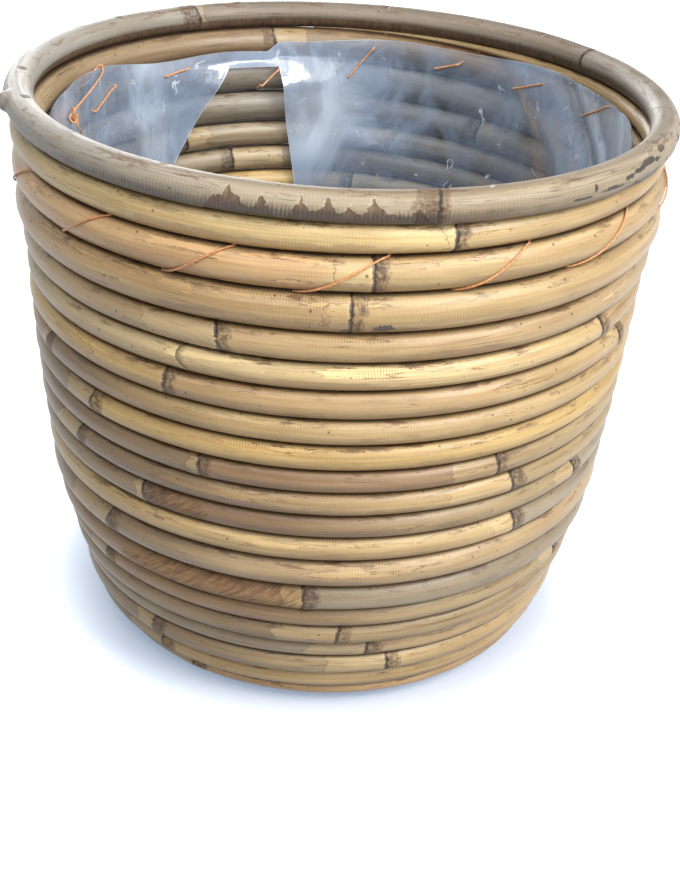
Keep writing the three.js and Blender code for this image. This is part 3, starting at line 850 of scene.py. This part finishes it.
def plywood_material():
    """Plywood: grain on its faces, plies on its edge."""
    g = new_material("plywood")
    place = g.place()
    rings = g.noise(place, (3.0, 38, 3.0), 4, 0.6, 1.2)
    pores = g.noise(place, (26, 900, 26), 3, 0.6)
    face = g.mix(g.step(rings, 0.35, 0.65), srgb(188, 150, 102), srgb(214, 180, 132))
    face = g.mix(g.step(pores, 0.58, 0.68, 0, 0.5), face, srgb(136, 100, 62))
    ply = g.step(g.maths("SINE", g.split(place)[2] * (TURN / TWO_PLIES)), -0.3, 0.3)
    edge = g.mix(ply, srgb(150, 112, 72), srgb(206, 170, 122))
    level = g.split(g.node("NewGeometry", {}, "True Normal"))[2]
    colour = g.mix(g.step(abs(level), 0.5, 0.8), edge, face)
    g.set(Base_Color=colour, Roughness=g.step(pores, 0.3, 0.7, 0.55, 0.75))
    g.set(Normal=g.bump(pores, 0.25, 0.0003))
    return g.owner


def steel_material():
    """Dull steel wire with a little rust."""
    g = new_material("brad_steel")
    rust = g.step(g.noise(g.place(), (900, 900, 900), 4, 0.6), 0.52, 0.68)
    g.set(Base_Color=g.mix(rust, srgb(120, 114, 108), srgb(96, 62, 40)), Metallic=0.8)
    g.set(Roughness=g.step(rust, 0, 1, 0.38, 0.8))
    return g.owner


# Wall canes
cane_finish = cane_material("wall_cane", WALL_LOOK)
pole_ends = [COIL_START, *SPLICES, COIL_END]
all_nodes = coil_nodes()
worn_marks = [
    [(on_coil(turn, degrees), *rest) for turn, degrees, *rest in rows]
    for rows in (SEEN_FLAKES, SEEN_FUZZ, SEEN_STAINS, SEEN_SPLITS)
]
run_before = 0
for i in range(len(pole_ends) - 1):
    spliced = (i > 0, i < len(SPLICES))
    pole = Cane(coil_frame, pole_ends[i], pole_ends[i + 1], CANE_STEP, CANE_SIDES, all_nodes, spliced)
    relief = waves(pole.along + run_before, pole.theta, WALL_WAVES) * pole.free
    piece = pole.build(f"cane_pole_{i + 1}", cane_finish, relief, run_before)
    paint(piece, "worn", "FLOAT_COLOR", whole(np.stack([pole.near(rows) for rows in worn_marks], -1)))
    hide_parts(f"wall_cane_{i + 1}")
    run_before += pole.along[-1, 0]


# Rim cane. Its nodes: a pale length below 0 is a scar before the ring; the first and last lie past the joint
RIM_NODES = [
    (RIM_JOINT - 0.1, "ash", "ash", 4, 4),
    (122 / 360, "ash", "slate", -2, 2),
    (214 / 360, "slate", "ash", 5, 9),
    (288 / 360, "chalk", "chalk", 0, 0),
    (1 + 15 / 360, "silver", "silver", -9, 3),
    (RIM_JOINT + 1.1, "ash", "ash", 4, 4),
]
# Where bark is torn off the rim's lower outer side: degrees from the front, half width, height up the side
TORN_PEAKS = [
    (-15.7, 4.4, 1.05), (-10.7, 2.4, 0.90), (-5.0, 2.2, 0.96), (-1.3, 2.5, 1.02), (1.8, 1.9, 0.86),
    (5.2, 2.8, 1.02), (11.5, 2.2, 0.8), (52, 4.0, 0.5), (64, 5.0, 0.6), (73, 4.0, 1.0), (79, 4.0, 1.1),
    (-52, 3.0, 0.3), (150, 6.0, 0.5), (262, 7.0, 0.6),
]  # fmt: skip
# Between them, low torn bands: from and to, in degrees from the front, and height up the side
TORN_BANDS = [(-20, -7, 0.40), (-9, 15, 0.50), (58, 84, 0.40)]
TORN_FOOT, TORN_SPAN = math.radians(62), math.radians(114)
TORN_DEPTH = 0.05  # share of the rim's half thickness
# Dark stains and lengthwise splits on it, and where it is closely checked across: degrees from the front,
# place up the side, half length in millimetres, half height
RIM_STAINS = [
    (56.5, 0.52, 7.0, 0.24), (62.5, 0.72, 5.5, 0.18), (59.5, 0.40, 4.5, 0.16), (50, 0.20, 4.0, 0.15),
    (46, -0.1, 9, 0.16), (-62, 0.85, 2.0, 0.08), (41.5, 0.2, 1.2, 0.3), (53, 0.33, 6, 0.18),
    (39, -0.25, 8, 0.13),
]  # fmt: skip
RIM_SPLITS = [
    (42, 0.6, 26, 0.4), (24, 0.6, 14, 0.3), (60, 0.3, 12, 0.5), (-35, 0.7, 20, 0.3), (-52, 0.6, 22, 0.6),
    (-70, 0.5, 26, 0.7), (-95, 0.6, 26, 0.6), (190, 0.6, 40, 0.5), (130, 0.6, 30, 0.5),
]  # fmt: skip
RIM_HATCH = [
    (-68, -0.8, 60, 0.5), (-36, -0.6, 40, 0.7), (-10, -0.4, 34, 1.0), (7, -0.3, 22, 1.0),
    (30, -0.95, 36, 0.25), (56, -0.6, 20, 0.5), (150, -0.5, 60, 0.8), (-115, -0.4, 50, 0.8),
]  # fmt: skip
# Dents of its brads, and the stub of a side shoot: width, and depth as a share of its half thickness
BRAD_DENT, STUB_LUMP = (1.7 * MM, 0.19), (4.0 * MM, -0.40)
BRAD_FACING = math.acos(-RIM_BRAD_INSET / (RIM_THICK / 2))
STUB_PLACE, STUB_FACING = -73 / 360, math.radians(10)
RIM_OFFSET = 40  # metres; so that its looks aren't those of the wall


def torn_field(turns, theta):
    """Above 0 where the rim's bark is torn off its lower outer side, under domes with a thin spike."""
    degrees = signed(turns * 360)
    top = np.full(degrees.shape, -1.0)
    for middle, width, reach in TORN_PEAKS:
        away = np.abs(signed(degrees - middle)) / width
        dome = 0.76 * (1 - away**2) + 0.24 * np.clip(1 - 6 * away, 0, 1)
        top = np.maximum(top, np.where(away < 1, reach * dome, -1))
    for low, high, reach in TORN_BANDS:
        inside = np.minimum(degrees - low, high - degrees) / 3
        top = np.maximum(top, reach * np.clip(inside, -1, 1))
    rise = (theta + TORN_FOOT) / TORN_SPAN
    return np.where(top > -1, np.minimum(top - rise, 1.2 + rise), -1.0)


def dent(cane, place, theta, width, depth):
    """A round dent or, with negative depth, a lump on the rim."""
    across = (cane.turns - place + 0.5) % 1 - 0.5
    x = across * TURN * RIM_RADIUS
    y = ((cane.theta - theta + math.pi) % TURN - math.pi) * RIM_THICK / 2
    return -depth * np.exp(-(((x**2 + y**2) / width**2) ** 2))


rim_nodes = [cane_node(*row) for row in RIM_NODES]
rim = Cane(rim_frame, RIM_JOINT, RIM_JOINT + 1, RIM_STEP, RIM_SIDES, rim_nodes, (True, True))
rim_theta = np.where(rim.theta > math.pi, rim.theta - TURN, rim.theta)
torn = torn_field(rim.turns, rim_theta)
rim_relief = waves(rim.along, rim.theta, RIM_WAVES) - TORN_DEPTH * smoothstep(torn, 0, 0.15)
for degrees in RIM_BRAD_PLACES:
    rim_relief += dent(rim, degrees / 360, BRAD_FACING, *BRAD_DENT)
rim_relief += dent(rim, STUB_PLACE, STUB_FACING, *STUB_LUMP)
rim_finish = cane_material("rim_cane", RIM_LOOK)
rim_piece = rim.build("rim_ring", rim_finish, rim_relief, RIM_OFFSET)
paint(rim_piece, "torn", "FLOAT", np.concatenate([torn.ravel(), [-1, -1]]))
stained, split, hatched = (
    rim.near([((degrees / 360 - RIM_JOINT) % 1 + RIM_JOINT, *rest) for degrees, *rest in rows])
    for rows in (RIM_STAINS, RIM_SPLITS, RIM_HATCH)
)
paint(rim_piece, "worn", "FLOAT_COLOR", whole(np.stack([0 * stained, 0 * stained, stained, split], -1)))
paint(rim_piece, "hatch", "FLOAT", np.concatenate([hatched.ravel(), [0, 0]]))
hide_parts("rim_cane")


# Film liner. Its open seam: heights, and how far both edges lie from the middle
SEAM_TURN = 0.572
SEAM_HEIGHTS = [0.030, 0.150, 0.184, 0.230]
SEAM_RIGHT = [-0.040, -0.034, -0.029, -0.022]
SEAM_LEFT = [0.050, 0.050, 0.038, 0.005]
FILM_COLUMNS = 330
SEAM_COLUMNS = 24
FILM_FLOOR = 0.0096
FILM_FLOOR_RADIUS = 0.082
FILM_FOOT = 0.030
FILM_RIM = 0.2420
FILM_BEND = 0.02  # height over which its floor turns into its wall
FILM_SLACK = 0.8 * MM  # how far it may lie out beyond its plain shape
FLOOR_ROWS, BEND_ROWS, WALL_ROWS, TOP_ROWS = 16, 9, 96, 10
FLOOR_FIRST = 0.006  # radius of its innermost row
FLOOR_WAVES = 2 * MM  # most that its floor lifts
# Its top edge: higher at the back right, rippled, and lower over the open seam, in degrees from the front
TOP_LIFT, TOP_LIFT_TURN, TOP_LIFT_WIDTH = 5 * MM, 0.32, 0.16
TOP_RIPPLE, TOP_RIPPLES = 0.9 * MM, 9
TOP_DIP, TOP_DIP_FROM, TOP_DIP_TO = 5.5 * MM, (195, 199), (218, 246)
# Upright folds: degrees at the top and foot, half width in degrees, depth in millimetres
FOLDS = [
    (135, 101, 8.0, 8.5), (118, 84, 2.6, 6.0), (98, 78, 1.8, 5.0), (84, 84, 2.6, 5.0), (228, 226, 2.0, 2.4),
    (247, 245, 3.0, 3.0), (262, 259, 3.0, 3.4), (283, 279, 2.8, 3.2), (310, 316, 3.0, 2.6),
    (338, 334, 3.2, 3.0), (5, 9, 3.0, 2.8), (32, 28, 2.8, 3.0), (60, 63, 3.2, 2.8), (162, 158, 2.0, 1.8),
]  # fmt: skip
FOLD_LEAN = 5  # folds lean most near the top
DEEPEST_FOLD = 8.5
CRUMPLES = [(16, 2.2 * MM), (62, 0.55 * MM)]  # slow billows and small crumples: count to a metre, depth
# Bulges whose upper side leans back and catches the light: degrees, half width in degrees, heights of the
# foot, crest and head, depth
BULGES = [
    (199, 13, 0.196, 0.2225, 0.2335, 8.0 * MM),
    (172, 6, 0.176, 0.190, 0.199, 3.0 * MM),
    (238, 8, 0.186, 0.208, 0.221, 3.5 * MM),
]
VEIL_TURN, VEIL = 0.66, 0.15  # where round the basket the film is cloudiest
# Places that are cloudier or, below 0, clearer: degrees, half width, height, half height, by how much
CLOUDS = [
    (184, 15, 0.208, 0.032, 0.36), (222, 24, 0.240, 0.011, 0.26), (231, 8, 0.198, 0.035, 0.26),
    (266, 12, 0.230, 0.022, 0.22), (96, 22, 0.238, 0.028, 0.30), (158, 26, 0.172, 0.026, -0.12),
    (250, 8, 0.205, 0.020, 0.12), (158, 13, 0.220, 0.020, -0.16), (88, 16, 0.240, 0.030, 0.22),
    (118, 20, 0.232, 0.026, 0.13), (188, 7, 0.186, 0.020, 0.12),
]  # fmt: skip


def film_wall_radius(height):
    """How far the film's plain shape stands from the basket's axis."""
    inner = PROFILE + FILM_OFFSET * np.stack([-PROFILE_RISE[:, 1], PROFILE_RISE[:, 0]], -1)
    wall = inner[ARC > 0.1 * ARC[-1]]
    return np.interp(height, wall[:, 1], wall[:, 0])


def film_rows():
    """Radius and height of the film's rows, from the middle of its floor to its top edge."""
    foot_radius = film_wall_radius(FILM_FOOT)
    floor = [(radius, FILM_FLOOR) for radius in np.linspace(FLOOR_FIRST, FILM_FLOOR_RADIUS, FLOOR_ROWS)]
    share = np.linspace(0, 1, BEND_ROWS)[1:-1]
    bend_radius = (1 - share) ** 2 * FILM_FLOOR_RADIUS + (2 * share * (1 - share) + share**2) * foot_radius
    bend_height = (1 - share**2) * FILM_FLOOR + share**2 * FILM_FOOT
    lower = np.linspace(FILM_FOOT, SEAM_HEIGHTS[-1], WALL_ROWS)
    upper = np.linspace(SEAM_HEIGHTS[-1], FILM_RIM, TOP_ROWS)[1:]
    wall = [(film_wall_radius(height), height) for height in (*lower, *upper)]
    return np.array([*floor, *zip(bend_radius, bend_height), *wall])


def film_turns(heights):
    """Places round the basket of each row's columns, so that the open seam's edges follow its outline."""
    radius = film_wall_radius(np.maximum(heights, FILM_FOOT))
    right = SEAM_TURN + np.interp(heights, SEAM_HEIGHTS, SEAM_RIGHT) / (TURN * radius)
    left = SEAM_TURN + np.interp(heights, SEAM_HEIGHTS, SEAM_LEFT) / (TURN * radius)
    open_part = np.linspace(0, 1, SEAM_COLUMNS, endpoint=False)
    wall_part = np.linspace(0, 1, FILM_COLUMNS - SEAM_COLUMNS, endpoint=False)
    opened = right[:, None] + (left - right)[:, None] * open_part
    walled = left[:, None] + (right + 1 - left)[:, None] * wall_part
    return np.concatenate([opened, walled], 1)


def film_folds(turns, share):
    """Depth of the upright folds, in metres, and how much of a doubled fold each place is."""
    inward = np.zeros(turns.shape)
    doubled = np.zeros(turns.shape)
    for top, foot, width, depth in FOLDS:
        off = signed(turns * 360 - foot - (top - foot) * share**FOLD_LEAN)
        crest = 1 / (1 + (off / width) ** 6)
        inward += depth * MM * crest * np.clip(1.15 - share, 0, 0.6)
        doubled = np.maximum(doubled, crest * depth / DEEPEST_FOLD)
    return inward, doubled


def film_creases(points, turns, heights):
    """How far the film stands in from its plain shape, and how much of a doubled fold each place is."""
    share = np.clip((heights - FILM_FOOT) / (FILM_RIM - FILM_FOOT), 0, 1)
    inward, doubled = film_folds(turns, share)
    for degrees, wide, foot, crest, head, depth in BULGES:
        off = signed(turns * 360 - degrees)
        rise = smoothstep(heights, foot, crest) * np.interp(heights, [crest, head], [1, 0])
        inward += depth * rise * np.exp(-((off / wide) ** 2))
    crumpled = np.zeros(turns.shape)
    for count, depth in CRUMPLES:
        values = [noise.noise(Vector(point) * count) for point in points.reshape(-1, 3)]
        crumpled += depth * np.reshape(values, turns.shape)
    # Smoother towards the top edge and on the floor
    calm = np.where(share > 0, 0.4 + 0.6 * np.clip((0.95 - share) / 0.2, 0, 1), 0.2)
    return inward + calm * crumpled, doubled


def film_radius(turns, heights):
    """How far the film stands from the basket's axis."""
    radius = film_wall_radius(heights)
    inward, _ = film_creases(around(turns, radius, heights), turns, heights)
    return radius - np.maximum(inward, -FILM_SLACK)


def film_cloud(turns, heights):
    """How much cloudier the film is than plain, place by place."""
    total = VEIL * (0.5 + 0.5 * np.cos((turns - VEIL_TURN) * TURN)) ** 2
    for degrees, wide, height, tall, share in CLOUDS:
        off = signed(turns * 360 - degrees)
        total += share * np.exp(-((off / wide) ** 2) - ((heights - height) / tall) ** 2)
    return total


def open_edge(faces, count):
    """1 on the points of a sheet's open edges, 0 on the rest."""
    pairs = np.array([sorted(pair) for face in faces for pair in zip(face, [*face[1:], face[0]])])
    edges, uses = np.unique(pairs, axis=0, return_counts=True)
    hem = np.zeros(count)
    hem[edges[uses == 1].ravel()] = 1
    return hem


def film_liner():
    """Points and faces of the bag, and for each point how far it is doubled, if it is hem, and its cloud."""
    rows = film_rows()
    turns = film_turns(rows[:, 1])
    radius, height = rows[:, :1] + 0 * turns, rows[:, 1:] + 0 * turns
    inward, doubled = film_creases(around(turns, radius, height), turns, height)
    on_wall = np.clip((height - FILM_FLOOR) / FILM_BEND, 0, 1)
    top = np.clip((height - SEAM_HEIGHTS[-1]) / (FILM_RIM - SEAM_HEIGHTS[-1]), 0, 1)
    lift = TOP_LIFT * np.exp(-((((turns - TOP_LIFT_TURN + 0.5) % 1 - 0.5) / TOP_LIFT_WIDTH) ** 2))
    lift += TOP_RIPPLE * np.sin(TOP_RIPPLES * TURN * turns)
    degrees = turns * 360 % 360
    lift -= TOP_DIP * smoothstep(degrees, *TOP_DIP_FROM) * (1 - smoothstep(degrees, *TOP_DIP_TO))
    points = around(turns, radius - on_wall * np.maximum(inward, -FILM_SLACK), height + top * lift)
    points[..., 2] += (1 - on_wall) * np.clip(inward, 0, FLOOR_WAVES)
    count = len(rows)
    ring, side = np.meshgrid(np.arange(count - 1), np.arange(FILM_COLUMNS), indexing="ij")
    in_seam = (rows[ring, 1] > FILM_FOOT - 1e-6) & (rows[ring + 1, 1] < SEAM_HEIGHTS[-1] + 1e-6)
    a = ring * FILM_COLUMNS + side
    b = ring * FILM_COLUMNS + (side + 1) % FILM_COLUMNS
    walls = np.stack([a, b, b + FILM_COLUMNS, a + FILM_COLUMNS], -1)
    faces = walls[~((side < SEAM_COLUMNS) & in_seam)].tolist()
    faces += [[count * FILM_COLUMNS, (s + 1) % FILM_COLUMNS, s] for s in range(FILM_COLUMNS)]
    used = np.unique(np.concatenate([np.ravel(face) for face in faces]))
    everything = np.vstack([points.reshape(-1, 3), [[0, 0, FILM_FLOOR]]])
    order = np.full(len(everything), -1)
    order[used] = np.arange(len(used))
    faces = [[int(order[v]) for v in face] for face in faces]
    doubled, cloud = (np.append(values.ravel(), 0)[used] for values in (doubled, film_cloud(turns, height)))
    return everything[used], faces, np.stack([doubled, open_edge(faces, len(used)), cloud], -1)


film_points, film_faces, film_looks = film_liner()
film = new_piece("film_bag", film_points, film_faces, film_material())
paint(film, "film", "FLOAT_VECTOR", film_looks)
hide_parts("film_liner")


# Lacing thread
THREAD_SIDES = 10
THREAD_STEP = 0.4 * MM
TWIST = 2.4 * MM
PLIES = 0.16  # how far the two plies stand out, as a share of the thread's half thickness
KNOT_TURN = 262 / 360
KNOT_HEIGHT = 0.2300
KNOT_SIZE = 1.0 * MM
KNOT_CLEAR = 2.6 * MM
KNOT_POINTS = 40
KNOT_OPEN = 0.35  # how far its ends stop short of closing it, as an angle
# From the last stitch over the film's top edge: turns past the first stitch, then millimetres outward and up
# from the gap under it
OVER_EDGE = [(-0.027, -8.8, 22), (-0.034, -8.8, 26), (-0.036, -10.65, 27.6), (-0.0345, -12.2, 25)]
BEHIND_FILM, INSIDE_FILM = 1.3 * MM, -0.9 * MM
OVER_POINTS, RUN_POINTS = 11, 5  # of a stitch, outside and inside


def plain_run(top, following):
    """The inside run of a stitch that isn't seen: from high on the cane to low at the next stitch."""
    high, low = coil_half(np.array([top, following])) / 2
    end = top + (following - top + 0.5) % 1 - 0.5
    start_height = coil_point(top, -FILM_OFFSET, high)[2]
    return top * 360, start_height, end * 360, coil_point(following, -FILM_OFFSET, -low)[2]


def stitches():
    """First and top places of each stitch on the coil, and its run inside the film."""
    places = np.array(STITCH_PLACES)
    starts = np.where(places < STITCH_DROP, STITCH_CANE, STITCH_CANE - 1) + places / 360
    following = np.roll(starts, -1)
    tops = starts + STITCH_RISE * ((following - starts) % 1)
    runs = [plain_run(*row) for row in zip(tops, following)]
    seen = STITCH_PLACES.index(FIRST_SEEN_RUN)
    runs[seen : seen + len(SEEN_RUNS)] = SEEN_RUNS
    return zip(starts, tops, runs)


def stitch_points(first, top, run):
    """One stitch: out under the cane, up over it, in above it, and along the inside of the film."""
    share = np.linspace(0, 1, OVER_POINTS)
    turns = first + share * (top - first)
    angle = np.radians(STITCH_ARC * (2 * share - 1))
    reach = coil_frame(turns)[3] + THREAD / 2 + STITCH_CLEAR
    over = coil_point(turns, reach * np.cos(angle), reach * np.sin(angle))
    low, high = coil_half(np.array([first, top]))
    start, start_height, end, end_height = run
    places = np.linspace(start, end, RUN_POINTS) / 360
    heights = np.linspace(start_height, end_height, RUN_POINTS)
    radius = film_radius(places, heights)
    behind = around(places, radius + BEHIND_FILM, heights)
    inside = around(places, radius + INSIDE_FILM, heights)
    return [coil_point(first, 0, -low), *over, coil_point(top, 0, high), behind[0], *inside, behind[-1]]


def smooth_line(points, step):
    """The same line, rounded and in even steps."""
    dense = centripetal(np.array(points), samples=24)
    run = lengths(dense)
    even = np.linspace(0, run[-1], max(2, round(run[-1] / step)))
    return np.stack([np.interp(even, run, dense[:, i]) for i in range(3)], -1)


def knot_points():
    """An overhand knot on the film, then its loose tail."""
    radius = film_radius(np.array([KNOT_TURN]), np.array([KNOT_HEIGHT]))[0] - KNOT_CLEAR
    middle = around(KNOT_TURN, radius, KNOT_HEIGHT)
    inward, aside, up = -around(KNOT_TURN, 1, 0), around(KNOT_TURN + 0.25, 1, 0), np.array([0, 0, 1])
    loop = []
    for t in np.linspace(KNOT_OPEN, TURN - KNOT_OPEN, KNOT_POINTS):
        x, y, z = math.sin(t) + 2 * math.sin(2 * t), math.cos(t) - 2 * math.cos(2 * t), -math.sin(3 * t)
        loop.append(middle + KNOT_SIZE * (x * aside - 1.3 * y * up + 1.1 * z * inward))
    tail = [
        middle + 2 * MM * inward - 5 * MM * up,
        around(KNOT_TURN - 0.008, radius - 0.5 * MM, KNOT_HEIGHT - 8 * MM),
        around(KNOT_TURN - 0.0155, radius + 0.6 * MM, KNOT_HEIGHT - 13.5 * MM),
    ]
    return middle, loop, tail


def lacing_line():
    """The whole thread: from the knot, round all the stitches, over the film's edge and into the knot."""
    path = [point for row in stitches() for point in stitch_points(*row)]
    first = STITCH_CANE + STITCH_PLACES[0] / 360
    low = coil_half(np.array(first))
    edge = [coil_point(first + turns, x * MM, y * MM - low) for turns, x, y in OVER_EDGE]
    middle, loop, tail = knot_points()
    last_run = RUN_POINTS + 2
    return smooth_line([middle, *path[:-last_run], *edge, *loop, *tail], THREAD_STEP)


def thread_piece(name, line):
    """A two-ply thread along a line."""
    along = np.gradient(line, axis=0)
    along /= np.linalg.norm(along, axis=1)[:, None]
    across = np.empty_like(line)
    last = np.array([0.0, 0.0, 1.0])
    for i, direction in enumerate(along):
        last = last - direction * (last @ direction)
        last /= np.linalg.norm(last)
        across[i] = last
    third = np.cross(along, across)
    run = lengths(line)[:, None]
    angle = -np.arange(THREAD_SIDES) / THREAD_SIDES * TURN
    reach = THREAD / 2 * (1 - PLIES + PLIES * np.cos(2 * (angle - run / TWIST * TURN / 2)))
    points = line[:, None] + reach[..., None] * (
        np.cos(angle)[:, None] * across[:, None] + np.sin(angle)[:, None] * third[:, None]
    )
    rings = len(line)
    everything = np.vstack([points.reshape(-1, 3), line[:1], line[-1:]])
    piece = new_piece(name, everything, tube_faces(rings, THREAD_SIDES), thread_material())
    twist = np.stack(np.broadcast_arrays(run, np.cos(angle - run / TWIST * math.pi), np.sin(angle)), -1)
    paint(piece, "twist", "FLOAT_VECTOR", np.vstack([twist.reshape(-1, 3), twist[0, :1], twist[-1, :1]]))
    return piece


lacing = thread_piece("thread_lacing", lacing_line())
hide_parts("lacing_thread")

# Base panel and brads keep their CAD shape
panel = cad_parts["base_panel"]
panel.material_slots[0].material = plywood_material()
bevel = panel.modifiers.new("eased_edge", "BEVEL")
bevel.width = 0.6 * MM
bevel.segments = 2
bevel.limit_method = "ANGLE"
brad_steel = steel_material()
for name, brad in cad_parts.items():
    if "_brad_" in name:
        brad.material_slots[0].material = brad_steel


# Floor, light and camera
FLOOR_HALF = 4
FLOOR_DROP = 0.2 * MM
PAINTED_SHADOW_REACH = 0.100, 0.155  # metres from the basket's axis over which a painted shadow, a dimmer and bluer glow of the floor, fades into the white floor
# Softboxes: place, aim, size, watts and colour
SOFTBOXES = {
    "key": ((0.95, -0.70, 1.25), (0, 0, 0.15), (0.8, 0.8), 24.5, (0.99, 0.99, 0.98)),
    "top": ((-0.12, -0.46, 1.05), (0, 0, 0.2), (0.9, 0.9), 8.4, (0.98, 0.99, 1.0)),
    "front": ((0.70, -1.3, 0.60), (0, 0, 0.15), (1.2, 0.8), 6.6, (0.99, 0.99, 1.0)),
    "back": ((-0.5, 1.5, 0.60), (0, 0, 0.12), (1.0, 0.8), 16, (0.97, 0.99, 1.0)),
}
WORLD_COLOUR, WORLD_STRENGTH = (0.86, 0.93, 1.0), 0.15


def seen_rays(g, *kinds):
    """1 for rays of these kinds, by which the camera sees; 0 for light on the object."""
    seen = 0
    for kind in kinds:
        seen = g.larger(seen, g.node("LightPath", {}, f"Is {kind} Ray"))
    return seen


def add_floor():
    """A floor that is seen as white, with the basket's shadow and round its foot a painted bluish shadow, but
    throws little light back.
    """
    g = new_material("pale_floor")
    seen = seen_rays(g, "Camera", "Glossy", "Transmission")
    away = g.node("VectorMath", {0: g.place()}, "Value", operation="LENGTH")
    # Painted shadow: near the basket the floor glows dimmer and bluer
    far = g.step(away, *PAINTED_SHADOW_REACH)
    g.set(Base_Color=g.mix(seen, (0.23, 0.22, 0.20), (0.55, 0.55, 0.55)))
    g.set(Roughness=0.9, Specular_IOR_Level=0.1)
    g.set(Emission_Color=g.mix(far, (0.55, 0.72, 1), (0.88, 0.92, 1)))
    g.set(Emission_Strength=seen * g.step(far, 0, 1, 0.42, 0.94))
    corners = [(x * FLOOR_HALF, y * FLOOR_HALF, 0) for x, y in ((-1, -1), (1, -1), (1, 1), (-1, 1))]
    mesh = bpy.data.meshes.new("floor")
    mesh.from_pydata(corners, [], [(0, 1, 2, 3)])
    mesh.materials.append(g.owner)
    floor = add_to_scene("floor", mesh)
    floor.location.z = -FLOOR_DROP


def add_softbox(name, place, aim, size, power, colour):
    """A rectangle of light at a place, turned to its aim."""
    light = bpy.data.lights.new(name, "AREA")
    light.shape = "RECTANGLE"
    light.size, light.size_y = size
    light.energy = power
    light.color = colour
    lamp = add_to_scene(name, light)
    lamp.location = place
    lamp.rotation_euler = (Vector(aim) - Vector(place)).to_track_quat("-Z", "Y").to_euler()


def add_camera():
    """The photo's camera."""
    forward = Vector((math.sin(YAW) * math.cos(PITCH), math.cos(YAW) * math.cos(PITCH), -math.sin(PITCH)))
    level = Vector((math.cos(YAW), -math.sin(YAW), 0))
    upright = level.cross(forward)
    right = math.cos(ROLL) * level + math.sin(ROLL) * upright
    up = -math.sin(ROLL) * level + math.cos(ROLL) * upright
    data = bpy.data.cameras.new("camera")
    data.sensor_width = SENSOR
    data.lens = FOCAL_PIXELS * SENSOR / IMAGE_HEIGHT
    camera = add_to_scene("camera", data)
    camera.matrix_world = Matrix.Translation(EYE) @ Matrix((right, up, -forward)).transposed().to_4x4()
    bpy.context.scene.camera = camera


def add_world():
    """Cool light from all round, white where it is seen or mirrored."""
    world = bpy.data.worlds.new("studio")
    g = Graph(world, "Background", "World Output")
    g.set(Color=WORLD_COLOUR, Strength=WORLD_STRENGTH)
    white = g.node("Background", {"Color": (1, 1, 1)})
    g.put(g.surface, g.node("MixShader", {0: seen_rays(g, "Camera", "Glossy"), 1: g.own(), 2: white}))
    bpy.context.scene.world = world


add_floor()
for name, settings in SOFTBOXES.items():
    add_softbox(name, *settings)
add_camera()
add_world()
bpy.context.scene.view_settings.view_transform = "Standard"
